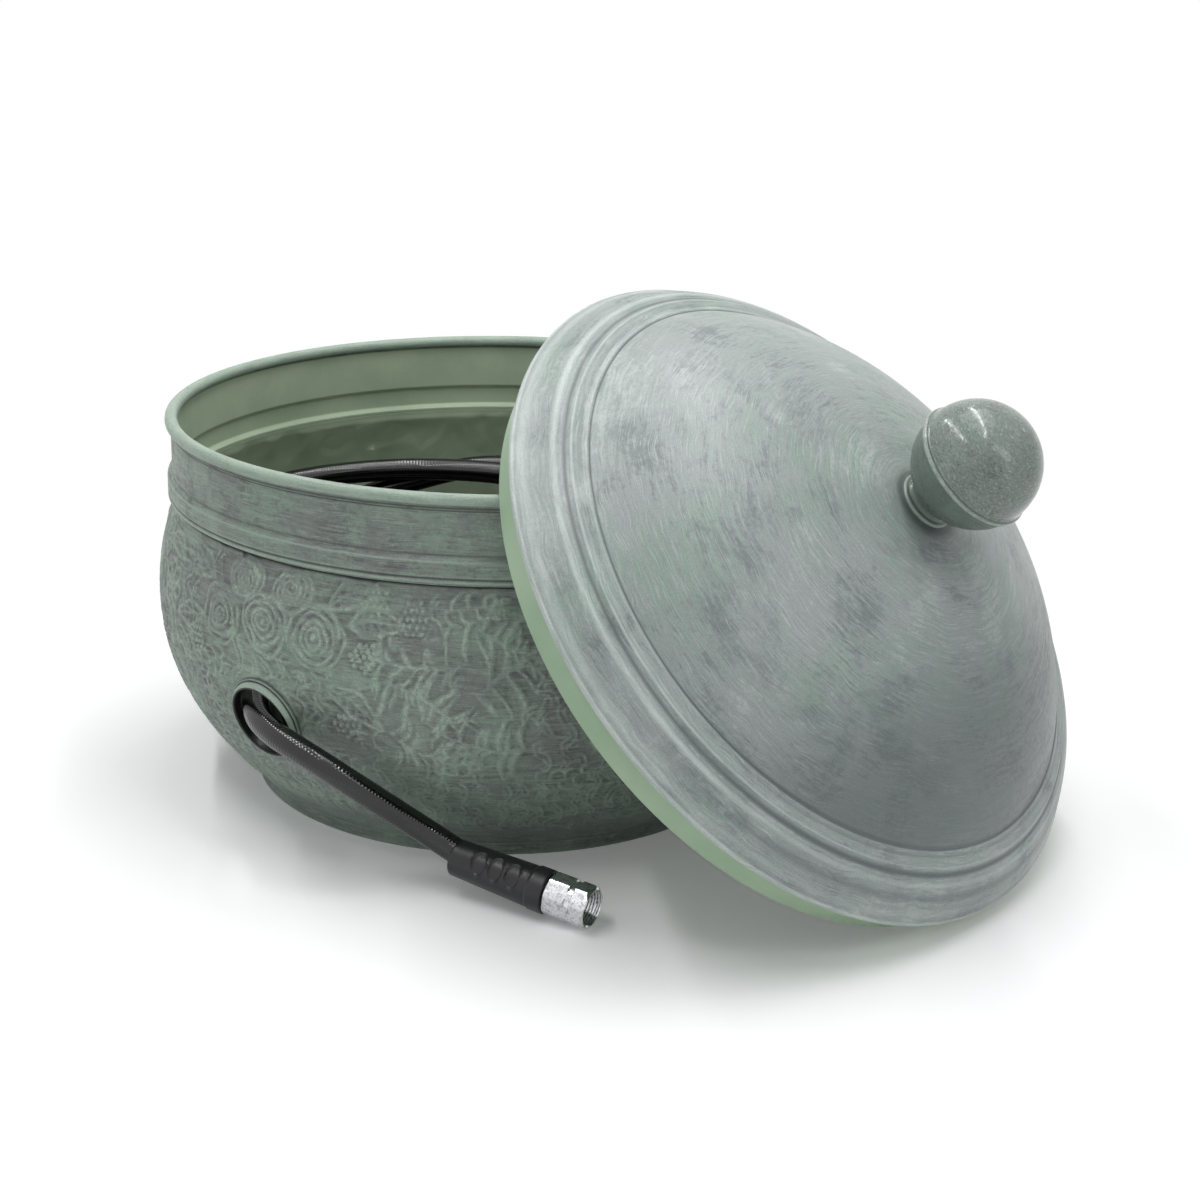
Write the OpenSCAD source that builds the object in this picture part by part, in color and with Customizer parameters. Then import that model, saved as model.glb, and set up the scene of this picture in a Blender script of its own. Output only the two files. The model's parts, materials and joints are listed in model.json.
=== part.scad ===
// Garden hose pot: embossed pot, leaning domed lid with a ball knob, and a
// coiled hose that leaves through an outlet in the belly.
// Millimetres. Origin on the pot's axis at the floor, +Z up.
// The outlet faces -Y and the lid leans towards +X.

/* [Pot] */
// Height of the rolled rim's bead centre
rim_z = 280; // [240:1:320]
// Radius of the rolled rim's bead centre
rim_r = 249; // [220:1:280]
// Section radius of the rolled rim
rim_bead = 4.8; // [3:0.1:7]
// Sheet thickness of the pot and the lid
sheet = 1.2; // [0.8:0.1:2]
// Outer radius of the foot ring
foot_r = 192; // [160:1:220]
// Height of the foot ring
foot_h = 10; // [6:1:20]
// Radius of the belly at its widest
belly_r = 263.7; // [240:0.1:290]
// Height of the belly's widest place
belly_z = 147; // [120:1:170]
// Height where the collar starts
collar_z = 221; // [210:1:225]
// Outer radius of the plain neck
neck_r = 249.7; // [230:0.1:270]
// Outer radius of the raised ring on the collar
ring_r = 253.2; // [240:0.1:270]

/* [Outlet] */
// Height of the outlet's centre on the belly
outlet_z = 104; // [80:1:130]
// Bore radius of the outlet eyelet
outlet_r = 26.5; // [20:0.5:35]
// Number of drain holes in the base pan
drain_count = 4; // [0:1:8]
// Radius of each drain hole
drain_r = 4; // [2:0.5:8]

/* [Lid] */
// Lean of the lid from level, in degrees
lid_tilt = 48; // [30:1:70]
// Distance of the leaning lid's centre from the pot's axis
lid_x = 256; // [240:0.5:280]
// Radius of the skirt's edge
skirt_r = 240; // [230:0.5:243]
// Height of the skirt under the flange
skirt_h = 26.4; // [15:0.1:40]
// Radius of the lid's outer edge
flange_r = 251.2; // [245:0.1:260]
// Radius where the dome meets the shoulder
dome_r = 212; // [190:1:225]
// Height of the dome's foot above the skirt's edge
dome_foot = 60; // [40:1:80]
// Rise of the dome
dome_h = 91; // [60:1:130]

/* [Knob] */
// Radius of the ball
ball_r = 43.2; // [30:0.1:55]
// Height of the ball's centre above the skirt's edge
ball_z = 199; // [180:1:220]
// Radius of the upper shell's lip
lip_r = 45.2; // [44:0.1:50]
// Thread radius of the knob bolt
bolt_r = 4; // [2.5:0.5:6]
// Radius of the washer under the lid's top
washer_r = 10; // [7:0.5:14]
// Thickness of that washer
washer_t = 2.4; // [1:0.2:4]

/* [Hose] */
// Outer diameter of the hose
hose_d = 18.5; // [15:0.5:22]
// Number of layers in the coil
coil_layers = 9; // [4:1:10]
// Mean radius of the coil
coil_r = 165; // [140:1:175]
// Radial width of one layer between hose centres
coil_band = 26; // [0:1:40]
// Centre of the loose top turn, along X
top_x = -54.5; // [-80:0.5:0]
// Centre of the loose top turn, along Y
top_y = -33; // [-80:0.5:0]

/* [Couplings] */
// Radius of the tapered grip at its hose end
grip_r0 = 12.8; // [11:0.1:15]
// Radius of the tapered grip at its front end
grip_r1 = 14.8; // [13:0.1:17]
// Radius of the grip's front collar
grip_collar_r = 15.5; // [14:0.1:18]
// Radius across the corners of the swivel nut
nut_corner_r = 16; // [14:0.1:18]
// Radius of the nut's threaded bore
thread_bore_r = 12.4; // [12:0.05:13.5]
// Radius of the male thread
thread_r = 13.4; // [12:0.05:13.5]

/* [Hidden] */
$fn = 96;
pot_green = [0.40, 0.49, 0.43];
lid_grey = [0.52, 0.58, 0.55];
pale_green = [0.62, 0.72, 0.61];
steel = [0.72, 0.73, 0.74];
chrome = [0.86, 0.87, 0.88];
brass = [0.75, 0.62, 0.36];
black = [0.06, 0.06, 0.06];
grip_black = [0.10, 0.10, 0.11];
hose_r = hose_d / 2;

// Two quarter ellipses make the belly: one below its widest place, one above.
belly_mid = 60;
belly_low = 220;
belly_up = 250;
function belly_at(z) = (belly_r + belly_mid)
    * sqrt(1 - pow((z - belly_z) / (z < belly_z ? belly_low : belly_up), 2)) - belly_mid;
function belly_slope(z) = (belly_at(z + 0.5) - belly_at(z - 0.5));
belly_steps = 22;
belly_zs = [for (i = [0 : belly_steps]) foot_h + (collar_z - foot_h) * i / belly_steps];

// The dome's height above the skirt's edge at radius r.
function dome_at(r) = dome_foot + dome_h * pow(1 - pow(min(r, dome_r) / dome_r, 2.2), 0.9);
dome_steps = 24;
function dome_step_r(i) = dome_r * sin(90 * i / dome_steps);
function dome_slope(r) = dome_at(min(r + 0.5, dome_r)) - dome_at(max(r - 0.5, 0));

// Room between the washer and the inside of the dome, and round the bolt in the lid.
washer_gap = 0.2;
// A cut that goes right through the knob along its axis.
knob_cut_z = 130;
knob_cut_h = 60;
// Corner radius and height of the bolt's head and of its nut.
hex_r = 7.5;
bolt_head_h = 5.3;
knob_nut_h = 6.5;
// Radius round the bolt in which the bolt's head meets the ball's bottom.
head_seat_r = 9;

// Pose of the leaning lid: the skirt's hem touches the floor.
hem_r = 1.2;
lid_z = skirt_r * sin(lid_tilt) + hem_r * (1 - cos(lid_tilt));

// Pose of the outlet: square to the belly's wall. Its bead lies on the wall.
bead_r = 2;
bead_z = 0.6;
eyelet_t = 1.5;
// Lower end of the eyelet's tube, and its flange behind the wall.
eyelet_in = -4.1;
eyelet_flange = 2.8;
eyelet_flange_t = 0.9;
outlet_cut = 30;
outlet_y = belly_at(outlet_z);
outlet_tilt = atan(belly_slope(outlet_z));

// Coil: its box stands on the base pan, the loose turn lies on it.
coil_z0 = foot_h;
coil_z1 = coil_z0 + coil_layers * hose_d;
coil_in = coil_r - coil_band / 2 - hose_r;
coil_out = coil_r + coil_band / 2 + hose_r;
top_r = 165;
top_z = coil_z1 + hose_r;
top_a0 = 95;
top_a1 = 333;

// Outer coupling: position of the nut's front face, and its direction.
nut_x = 247;
nut_y = -196;
nut_z = 14.9;
nut_az = 9.5;
nut_dip = 6.5;
nut_len = 32.7;
grip_len = 75;
grip_front = -33;
// Length of a grip's front collar.
grip_collar_len = 12;
// Play between the hose and what is slipped over it.
hose_play = 0.1;
// Ferrule under the outer grip.
ferrule_r = 11.2;
ferrule_back = -80;
ferrule_front = -34;
ferrule_step = -37;
// Tailpiece: barbed stem, shaft that the nut turns on, and flange inside the nut.
stem_r = 8;
stem_back = -66;
shaft_r = 9;
shaft_play = 0.05;
tail_flange_r = 12;
tail_flange_z = -20.3;
tail_flange_t = 3;
water_r = 6.5;
// Depth of the nut's thread, and the wider chamber behind it.
thread_depth = 11.5;
chamber_r = 13.2;
chamber_back = -20.35;

// Inner coupling: position of the grip's hose end, and its direction.
male_x = 30;
male_y = -60;
male_z = foot_h + 13.8;
male_az = 180;
male_rise = 2.4;
male_grip_len = 60;
male_shank_r = 9.35;
male_shank_z = 12.3;
male_hex_r = 15;
male_hex_h = 10;
male_relief_r = 11.8;
male_thread_h = 11;
male_lead_h = 1.2;

// Route of the lead: from inside the outer grip, through the outlet, round
// the wall and up on to the loose turn.
lead_route = [
    [211.7, -201.9, 19], [184.3, -206.5, 22.1], [158.8, -210.8, 25.1], [133.6, -216.1, 35.3],
    [113.3, -227.7, 49.6], [98.4, -244.1, 66.3], [83.8, -258.7, 81.5], [66.6, -268, 93],
    [46.4, -271.9, 100.6], [23.8, -270, 104.3], [-4.2, -259.2, 108.2], [-36.3, -231.2, 114],
    [-64.5, -207.2, 119.8], [-96.4, -182.7, 127.1], [-133.4, -154.3, 135.3], [-168.9, -118.7, 141.9],
    [-195.6, -73.5, 147], [-208.7, -18.2, 152.6], [-203.5, 43.2, 161], [-179.2, 95.3, 172.5],
    [-143.4, 129.1, 183.6], [-102.3, 151.7, 186.1], [-52, 171, 186], [0, 179, 186], [50, 172, 186],
    [96, 151, 186], [126, 127, 186], [150, 92, 186], [158, 50, 186], [146, -2, 186], [120, -54, 185.8],
    [92.5, -108, 185.8]];

// Route of the tail: from the bottom turn to the inner grip.
tail_route = [[152, 22, 19.3], [149, -3, 19.4], [139, -24, 19.6], [121, -43, 20.1], [98, -56, 20.7],
    [72, -60, 21.6], [48, -60, 22.9], [30, -60, 23.8], [18, -60, 24.3]];

// Points of a smooth curve through a route, with n steps between two points.
function spline(p, n) = [for (i = [0 : len(p) - 2], j = [0 : n - 1])
    let (a = p[max(i - 1, 0)], b = p[i], c = p[i + 1], d = p[min(i + 2, len(p) - 1)], t = j / n)
    0.5 * (2 * b + (c - a) * t + (2 * a - 5 * b + 4 * c - d) * t * t
        + (3 * b - 3 * c + d - a) * t * t * t), p[len(p) - 1]];
function unit(v) = v / norm(v);
function heading(p, i) = unit(p[min(i + 1, len(p) - 1)] - p[max(i - 1, 0)]);

// A closed tube with flat ends along the points p.
module tube(p, r, sides = 10) {
    rings = [for (i = [0 : len(p) - 1]) let (t = heading(p, i), s = unit(cross(t, [0, 0, 1])), u = cross(s, t))
        for (k = [0 : sides - 1]) p[i] + r * (cos(360 * k / sides) * s + sin(360 * k / sides) * u)];
    last = (len(p) - 1) * sides;
    polyhedron(rings, concat(
        [[for (k = [0 : sides - 1]) k]],
        [for (i = [0 : len(p) - 2], k = [0 : sides - 1]) let (m = (k + 1) % sides)
            [i * sides + k, (i + 1) * sides + k, (i + 1) * sides + m, i * sides + m]],
        [[for (k = [sides - 1 : -1 : 0]) last + k]]), convexity = 6);
}

// A ring turned from a section given as [radius, height] points.
module turned(section) { rotate_extrude($fn = 180) polygon(section); }

// A plain ring between two radii and two heights.
module ring(r0, r1, z0, z1) {
    difference() {
        translate([0, 0, z0]) cylinder(r = r1, h = z1 - z0, $fn = 180);
        translate([0, 0, z0 - 1]) cylinder(r = r0, h = z1 - z0 + 2, $fn = 180);
    }
}

module place_lid() { translate([lid_x, 0, lid_z]) rotate([0, lid_tilt, 0]) children(); }
module place_outlet() { translate([0, -outlet_y, outlet_z]) rotate([90 + outlet_tilt, 0, 0]) children(); }
// A fitting is drawn with its front face at z = 0 and its hose end below it.
module place_nut() { translate([nut_x, nut_y, nut_z]) rotate([0, 0, nut_az]) rotate([0, 90 + nut_dip, 0]) children(); }
module place_male() {
    translate([male_x, male_y, male_z]) rotate([0, 0, male_az]) rotate([0, 90 - male_rise, 0]) children();
}

module pot_belly() {
    color(pot_green) difference() {
        turned(concat(
            [for (z = belly_zs) [belly_at(z), z]],
            [for (i = [belly_steps : -1 : 0]) let (z = belly_zs[i])
                [belly_at(z) - sheet * sqrt(1 + pow(belly_slope(z), 2)), z]]));
        place_outlet() translate([0, 0, -outlet_cut]) cylinder(r = outlet_r + eyelet_t, h = 2 * outlet_cut);
    }
}

module pot_collar() {
    b = belly_at(collar_z);
    // the neck ends half a sheet inside the roll's underside
    neck_top = rim_z - rim_bead + sheet / 2;
    color(pot_green) union() {
        turned([[b, collar_z], [b, 222], [ring_r - 0.6, 223.6], [ring_r + 0.2, 224.8], [ring_r - 0.2, 226.4],
            [ring_r, 227.4], [ring_r, 238.6], [ring_r - 0.8, 239.8], [neck_r, 241.4], [neck_r, neck_top],
            [neck_r - sheet, neck_top], [neck_r - sheet, 241], [ring_r - 2, 239.4], [ring_r - sheet, 238.2],
            [ring_r - sheet, 224.8], [ring_r - 2, 224], [b - sheet, 222.4], [b - sheet, collar_z]]);
        // rolled rim
        rotate_extrude($fn = 180) translate([rim_r, rim_z]) difference() {
            circle(r = rim_bead, $fn = 32);
            circle(r = rim_bead - sheet, $fn = 32);
        }
    }
}

module rim_wire() {
    color(steel) rotate_extrude($fn = 180) translate([rim_r, rim_z]) circle(r = rim_bead - sheet, $fn = 32);
}

module foot_ring() {
    color(pot_green) turned([[foot_r - 7, 0], [foot_r - 0.8, 0], [foot_r, 0.8], [foot_r, foot_h],
        [foot_r - 1.6, foot_h], [foot_r - 1.6, 1.4], [foot_r - 7, 1.4]]);
}

module base_pan() {
    r = foot_r - 1.6;
    color(pot_green) difference() {
        turned([[0, 8.4], [r, 8.4], [r, foot_h], [0, foot_h]]);
        for (i = [0 : 1 : drain_count - 1]) rotate([0, 0, 45 + 360 * i / drain_count])
            translate([70, 0, 0]) cylinder(r = drain_r, h = 30, $fn = 32);
    }
}

module outlet_eyelet() {
    color(pot_green) place_outlet() union() {
        ring(outlet_r, outlet_r + eyelet_t, eyelet_in, bead_z);
        difference() {
            rotate_extrude($fn = 96) translate([outlet_r + bead_r, bead_z]) circle(r = bead_r, $fn = 32);
            translate([0, 0, -outlet_cut]) cylinder(r = outlet_r, h = 2 * outlet_cut);
        }
        // flange behind the wall, a hair above the tube's end so that the two are one solid
        translate([0, 0, 0.05]) ring(outlet_r, outlet_r + eyelet_flange, eyelet_in - eyelet_flange_t, eyelet_in);
    }
}

// Outer line of the lid from the dome's foot to its edge.
lid_brim = [[216, 58.8], [224, 56.8], [225.2, 55], [227.5, 52.6], [231, 51.2], [235, 48.8],
    [238.5, 45.3], [243, 39.5], [247.5, 33.5], [250.4, 29.8], [flange_r, 28.2]];
lid_brim_in = [[246.4, 32.9], [241.9, 38.9], [237.4, 44.5], [234, 47.8], [230.3, 50.0], [226.8, 51.5],
    [224.2, 54.5], [223.3, 55.8], [215.4, 57.7], [211, 59.2]];

module lid_shell() {
    color(lid_grey) place_lid() turned(concat(
        [[bolt_r + washer_gap, dome_at(bolt_r)]],
        [for (i = [2 : dome_steps]) [dome_step_r(i), dome_at(dome_step_r(i))]],
        lid_brim,
        [[flange_r, skirt_h - 0.2], [flange_r - sheet, skirt_h - 0.2], [flange_r - sheet, 28.4]],
        lid_brim_in,
        [for (i = [dome_steps - 1 : -1 : 2]) let (r = dome_step_r(i), s = dome_slope(r), k = sheet / sqrt(1 + s * s))
            [r + k * s, dome_at(r) - k]],
        [[bolt_r + washer_gap, dome_at(bolt_r) - sheet]]));
}

module lid_skirt() {
    r = flange_r - sheet;
    color(pale_green) place_lid() turned([[r, skirt_h], [r, skirt_h + sheet], [240.6, skirt_h + sheet],
        [240, 26], [239.6, 12], [239.0, 2.2], [238.8, 1.2], [239.15, 0.35], [skirt_r, 0], [240.85, 0.35],
        [241.2, 1.2], [240.9, 2.4], [240.9, 12], [241.5, 24], [242.8, skirt_h]]);
}

module knob_stem() {
    color(lid_grey) place_lid() difference() {
        turned([[0, dome_at(20)], [20, dome_at(20)], [20.6, dome_at(20) + 1.4], [20, dome_at(20) + 2.8],
            [18.2, dome_at(20) + 3.2], [16.8, 156], [16.6, 158.5], [17.4, 161], [17.4, 170], [0, 170]]);
        // hollow foot over the lid's crown, seat for the ball and bolt hole
        turned([[0, 140], [17.2, 140], [17.2, dome_at(17.2)], [12, dome_at(12)], [bolt_r + washer_gap, dome_at(bolt_r)],
            [0, dome_at(0)]]);
        translate([0, 0, ball_z]) sphere(r = ball_r, $fn = 96);
        translate([0, 0, knob_cut_z]) cylinder(r = bolt_r, h = knob_cut_h);
    }
}

module knob_lower_shell() {
    color(lid_grey) place_lid() difference() {
        intersection() {
            translate([0, 0, ball_z]) sphere(r = ball_r, $fn = 96);
            translate([0, 0, ball_z - knob_cut_h]) cylinder(r = knob_cut_h, h = knob_cut_h);
        }
        translate([0, 0, ball_z]) sphere(r = ball_r - sheet, $fn = 96);
        translate([0, 0, knob_cut_z]) cylinder(r = bolt_r, h = knob_cut_h);
    }
}

module knob_upper_shell() {
    color(lid_grey) place_lid() difference() {
        union() {
            intersection() {
                translate([0, 0, ball_z]) sphere(r = ball_r, $fn = 96);
                translate([0, 0, ball_z]) cylinder(r = knob_cut_h, h = knob_cut_h);
            }
            turned([[ball_r + 0.02, ball_z - 3.6], [lip_r - 0.5, ball_z - 3.6], [lip_r, ball_z - 3], [lip_r, ball_z - 1.2],
                [lip_r - 0.5, ball_z + 0.6], [ball_r - 0.4, ball_z + 3.5], [ball_r - 0.8, ball_z + 0.02],
                [ball_r + 0.02, ball_z + 0.02]]);
        }
        translate([0, 0, ball_z]) sphere(r = ball_r - sheet, $fn = 96);
    }
}

module knob_bolt() {
    head_z = ball_z - sqrt(pow(ball_r - sheet, 2) - pow(head_seat_r, 2));
    end_z = dome_at(0) - 16;
    color(steel) place_lid() union() {
        translate([0, 0, end_z]) cylinder(r = bolt_r, h = head_z + 1 - end_z);
        translate([0, 0, head_z]) cylinder(r = hex_r, h = bolt_head_h, $fn = 6);
    }
}

module knob_washer() {
    z = dome_at(washer_r) - sheet - washer_gap;
    color(steel) place_lid() ring(bolt_r, washer_r, z - washer_t, z);
}

module knob_nut() {
    z = dome_at(washer_r) - sheet - washer_gap - washer_t;
    color(steel) place_lid() difference() {
        translate([0, 0, z - knob_nut_h]) cylinder(r = hex_r, h = knob_nut_h, $fn = 6);
        translate([0, 0, z - 10]) cylinder(r = bolt_r, h = 20);
    }
}

module hose_coil() {
    c = 6;
    color(black) turned([[coil_in + c, coil_z0], [coil_out - c, coil_z0], [coil_out, coil_z0 + c],
        [coil_out, coil_z1 - c], [coil_out - c, coil_z1], [coil_in + c, coil_z1], [coil_in, coil_z1 - c],
        [coil_in, coil_z0 + c]]);
}

module hose_top_turn() {
    color(black) translate([top_x, top_y, top_z]) rotate([0, 0, top_a0])
        rotate_extrude(angle = top_a1 - top_a0, $fn = 144) translate([top_r, 0]) circle(r = hose_r, $fn = 32);
}

module hose_lead() { color(black) tube(spline(lead_route, 3), hose_r); }

module hose_tail() { color(black) tube(spline(tail_route, 2), hose_r); }

module grip_sleeve() {
    color(grip_black) place_nut() difference() {
        union() {
            translate([0, 0, grip_front - grip_len])
                cylinder(r1 = grip_r0, r2 = grip_r1, h = grip_len - grip_collar_len + 1);
            translate([0, 0, grip_front - grip_collar_len]) cylinder(r = grip_collar_r, h = grip_collar_len);
        }
        translate([0, 0, grip_front - grip_len - 1]) cylinder(r = hose_r + hose_play, h = grip_len);
        translate([0, 0, ferrule_back]) cylinder(r = ferrule_r, h = 50);
    }
}

module crimp_ferrule() {
    color(steel) place_nut() difference() {
        translate([0, 0, ferrule_back]) cylinder(r = ferrule_r, h = ferrule_front - ferrule_back);
        translate([0, 0, ferrule_back - 1]) cylinder(r = hose_r + hose_play, h = ferrule_step - ferrule_back + 1);
        translate([0, 0, -60]) cylinder(r = shaft_r, h = 40);
    }
}

module female_tailpiece() {
    color(brass) place_nut() difference() {
        union() {
            translate([0, 0, stem_back]) cylinder(r = stem_r, h = 30);
            translate([0, 0, ferrule_step])
                cylinder(r = shaft_r, h = tail_flange_z + tail_flange_t - ferrule_step);
            translate([0, 0, tail_flange_z]) cylinder(r = tail_flange_r, h = tail_flange_t);
        }
        translate([0, 0, stem_back - 4]) cylinder(r = water_r, h = 60);
    }
}

module swivel_nut() {
    color(chrome) place_nut() difference() {
        intersection() {
            translate([0, 0, -nut_len]) rotate([0, 0, 22.5]) cylinder(r = nut_corner_r, h = nut_len, $fn = 8);
            turned([[0, -nut_len], [14.2, -nut_len], [15.4, -nut_len + 1.4], [nut_corner_r + 1, -nut_len + 2.4],
                [nut_corner_r + 1, -15.5], [14.3, -14.2], [14.3, -12.6], [nut_corner_r + 1, -11.3],
                [nut_corner_r + 1, -2.6], [14.0, 0], [0, 0]]);
        }
        translate([0, 0, -thread_depth]) cylinder(r = thread_bore_r, h = 20);
        translate([0, 0, chamber_back]) cylinder(r = chamber_r, h = 9);
        translate([0, 0, -40]) cylinder(r = shaft_r + shaft_play, h = 30);
    }
}

module hose_washer() { color(black) place_nut() ring(7.2, 12.9, -17.3, -14.3); }

module male_sleeve() {
    color(grip_black) place_male() difference() {
        union() {
            cylinder(r1 = grip_r0, r2 = grip_r1, h = male_grip_len - grip_collar_len + 1);
            translate([0, 0, male_grip_len - grip_collar_len]) cylinder(r = grip_collar_r, h = grip_collar_len);
        }
        translate([0, 0, -1]) cylinder(r = male_shank_r + shaft_play, h = male_grip_len + 2);
    }
}

module male_coupling() {
    relief_z = male_grip_len + male_hex_h;
    color(chrome) place_male() difference() {
        union() {
            translate([0, 0, male_shank_z]) cylinder(r = male_shank_r, h = male_grip_len + 1 - male_shank_z);
            translate([0, 0, male_grip_len]) cylinder(r = male_hex_r, h = male_hex_h, $fn = 8);
            translate([0, 0, relief_z - 1]) cylinder(r = male_relief_r, h = 4);
            translate([0, 0, relief_z + 2]) cylinder(r = thread_r, h = male_thread_h);
            translate([0, 0, relief_z + 2 + male_thread_h])
                cylinder(r1 = thread_r, r2 = thread_r - male_lead_h, h = male_lead_h, $fn = 96);
        }
        translate([0, 0, 5]) cylinder(r = water_r, h = 100);
    }
}

pot_belly();
pot_collar();
rim_wire();
foot_ring();
base_pan();
outlet_eyelet();
lid_shell();
lid_skirt();
knob_stem();
knob_lower_shell();
knob_upper_shell();
knob_bolt();
knob_washer();
knob_nut();
hose_coil();
hose_top_turn();
hose_lead();
hose_tail();
grip_sleeve();
crimp_ferrule();
female_tailpiece();
swivel_nut();
hose_washer();
male_sleeve();
male_coupling();
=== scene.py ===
"""Looks of a garden hose pot: an embossed pot, its leaning domed lid and the hose coiled in it.

Sizes in the classes are in millimetres, as a maker would give them. Meshes are written in metres,
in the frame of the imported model: the pot's axis is Z, its outlet faces -Y, its lid leans towards +X.
"""

import json
import logging
import math
from dataclasses import dataclass, field, replace
from enum import Enum
from typing import Any, Callable, Sequence

import bmesh
import bpy
import numpy as np
from mathutils import Matrix, Quaternion, Vector

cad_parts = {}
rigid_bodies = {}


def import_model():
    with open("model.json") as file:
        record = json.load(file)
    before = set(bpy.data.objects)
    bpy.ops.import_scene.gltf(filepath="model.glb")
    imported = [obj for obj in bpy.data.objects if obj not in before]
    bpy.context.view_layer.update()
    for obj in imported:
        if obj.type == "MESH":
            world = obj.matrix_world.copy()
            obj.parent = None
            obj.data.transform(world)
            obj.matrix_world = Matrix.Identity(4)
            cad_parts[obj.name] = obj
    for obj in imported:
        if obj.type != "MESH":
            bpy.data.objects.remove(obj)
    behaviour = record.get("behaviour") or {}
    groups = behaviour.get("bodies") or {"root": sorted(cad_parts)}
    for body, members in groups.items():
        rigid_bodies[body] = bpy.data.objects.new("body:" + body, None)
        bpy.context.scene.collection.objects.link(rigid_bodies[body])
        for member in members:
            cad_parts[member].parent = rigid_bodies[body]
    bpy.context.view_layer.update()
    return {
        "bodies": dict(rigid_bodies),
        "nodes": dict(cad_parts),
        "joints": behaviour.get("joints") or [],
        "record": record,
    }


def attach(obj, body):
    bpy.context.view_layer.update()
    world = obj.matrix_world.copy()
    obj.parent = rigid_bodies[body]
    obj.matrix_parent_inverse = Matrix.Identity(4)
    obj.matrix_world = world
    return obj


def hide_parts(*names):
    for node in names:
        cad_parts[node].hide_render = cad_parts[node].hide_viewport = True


LOG = logging.getLogger("hose_pot")
MM = 0.001
Colour = tuple[float, float, float, float]
Array = np.ndarray
Thing = bpy.types.Object
Mesh = bpy.types.Mesh
Paint = bpy.types.Material
Socket = bpy.types.NodeSocket
Ring = Callable[[Array], Array]
Pair = tuple[float, float]
Spot = tuple[float, float, float]


def tint(red: int, green: int, blue: int) -> Colour:
    """Turns a colour as a screen shows it into the linear one that a shader takes.

    Args:
        red: red, 0 to 255.
        green: green, 0 to 255.
        blue: blue, 0 to 255.

    Returns:
        Linear red, green, blue and an alpha of 1.
    """
    parts = [value / 255 for value in (red, green, blue)]
    linear = [v / 12.92 if v <= 0.04045 else ((v + 0.055) / 1.055) ** 2.4 for v in parts]
    return (linear[0], linear[1], linear[2], 1.0)


def smoothstep(low: float, high: float, value: Array) -> Array:
    """Rises smoothly from 0 at low to 1 at high."""
    t = np.clip((value - low) / (high - low), 0.0, 1.0)
    return t * t * (3.0 - 2.0 * t)


def spline(points: Array, steps: int) -> Array:
    """Draws a smooth curve through points.

    Args:
        points: the points, one a row.
        steps: how many pieces each stretch between two points gets.

    Returns:
        The points of the curve.
    """
    padded = np.concatenate([points[:1], points, points[-1:]])
    t = (np.arange(steps) / steps)[:, None]
    parts = []
    for i in range(len(points) - 1):
        a, b, c, d = padded[i : i + 4]
        curve = 2 * b + (c - a) * t + (2 * a - 5 * b + 4 * c - d) * t**2 + (3 * b - 3 * c + d - a) * t**3
        parts.append(0.5 * curve)
    parts.append(points[-1:])
    return np.concatenate(parts)


def bell(value: Array, centre: float, width: float) -> Array:
    """Returns a bump that is 1 at the centre and falls off over a width."""
    return np.exp(-(((value - centre) / width) ** 2))


def arc(centre: Pair, radius: float, start: float, end: float, count: int) -> Array:
    """Returns points on an arc whose two ends are given in degrees."""
    t = np.radians(np.linspace(start, end, count))
    return np.stack([centre[0] + radius * np.cos(t), centre[1] + radius * np.sin(t)], axis=1)


def spun(angles: Array, radius: Array, height: Array) -> Array:
    """Returns points at angles, in radians, round the Z axis."""
    return np.stack([np.cos(angles) * radius, np.sin(angles) * radius, height + 0 * angles * radius], axis=-1)


def lengths_of(points: Array) -> Array:
    """Returns the length along a polyline at each of its points."""
    return np.concatenate([[0.0], np.cumsum(np.linalg.norm(np.diff(points, axis=0), axis=1))])


def read_along(points: Array, length: Array, wanted: Array) -> Array:
    """Returns a polyline's places at the wanted lengths along it."""
    return np.stack([np.interp(wanted, length, points[:, k]) for k in range(points.shape[1])], axis=1)


def evenly(points: Array, gap: float) -> Array:
    """Puts points at an even gap along a polyline.

    Args:
        points: the polyline's points, one a row.
        gap: the wanted distance between two points.

    Returns:
        The new points, with the same two ends.
    """
    length = lengths_of(points)
    count = max(2, int(round(length[-1] / gap)) + 1)
    return read_along(points, length, np.linspace(0.0, length[-1], count))


def rounded(corners: Sequence[Spot], steps: int = 4) -> Array:
    """Rounds the corners of an open line.

    Args:
        corners: a radius, a height and a corner radius for each corner.
        steps: how many pieces each rounding gets.

    Returns:
        The points of the rounded line.
    """
    points: list[Array] = []
    for i, (x, y, radius) in enumerate(corners):
        here = np.array([x, y])
        if radius <= 0 or i in (0, len(corners) - 1):
            points.append(here)
            continue
        back = np.array(corners[i - 1][:2]) - here
        on = np.array(corners[i + 1][:2]) - here
        back_length, on_length = np.linalg.norm(back), np.linalg.norm(on)
        back, on = back / back_length, on / on_length
        half = math.acos(float(np.clip(back @ on, -1, 1))) / 2
        cut = min(radius / math.tan(half), 0.48 * back_length, 0.48 * on_length)
        for t in np.linspace(0, 1, steps + 1):
            start, end = here + back * cut, here + on * cut
            points.append((1 - t) ** 2 * start + 2 * t * (1 - t) * here + t**2 * end)
    return np.array(points)


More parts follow.
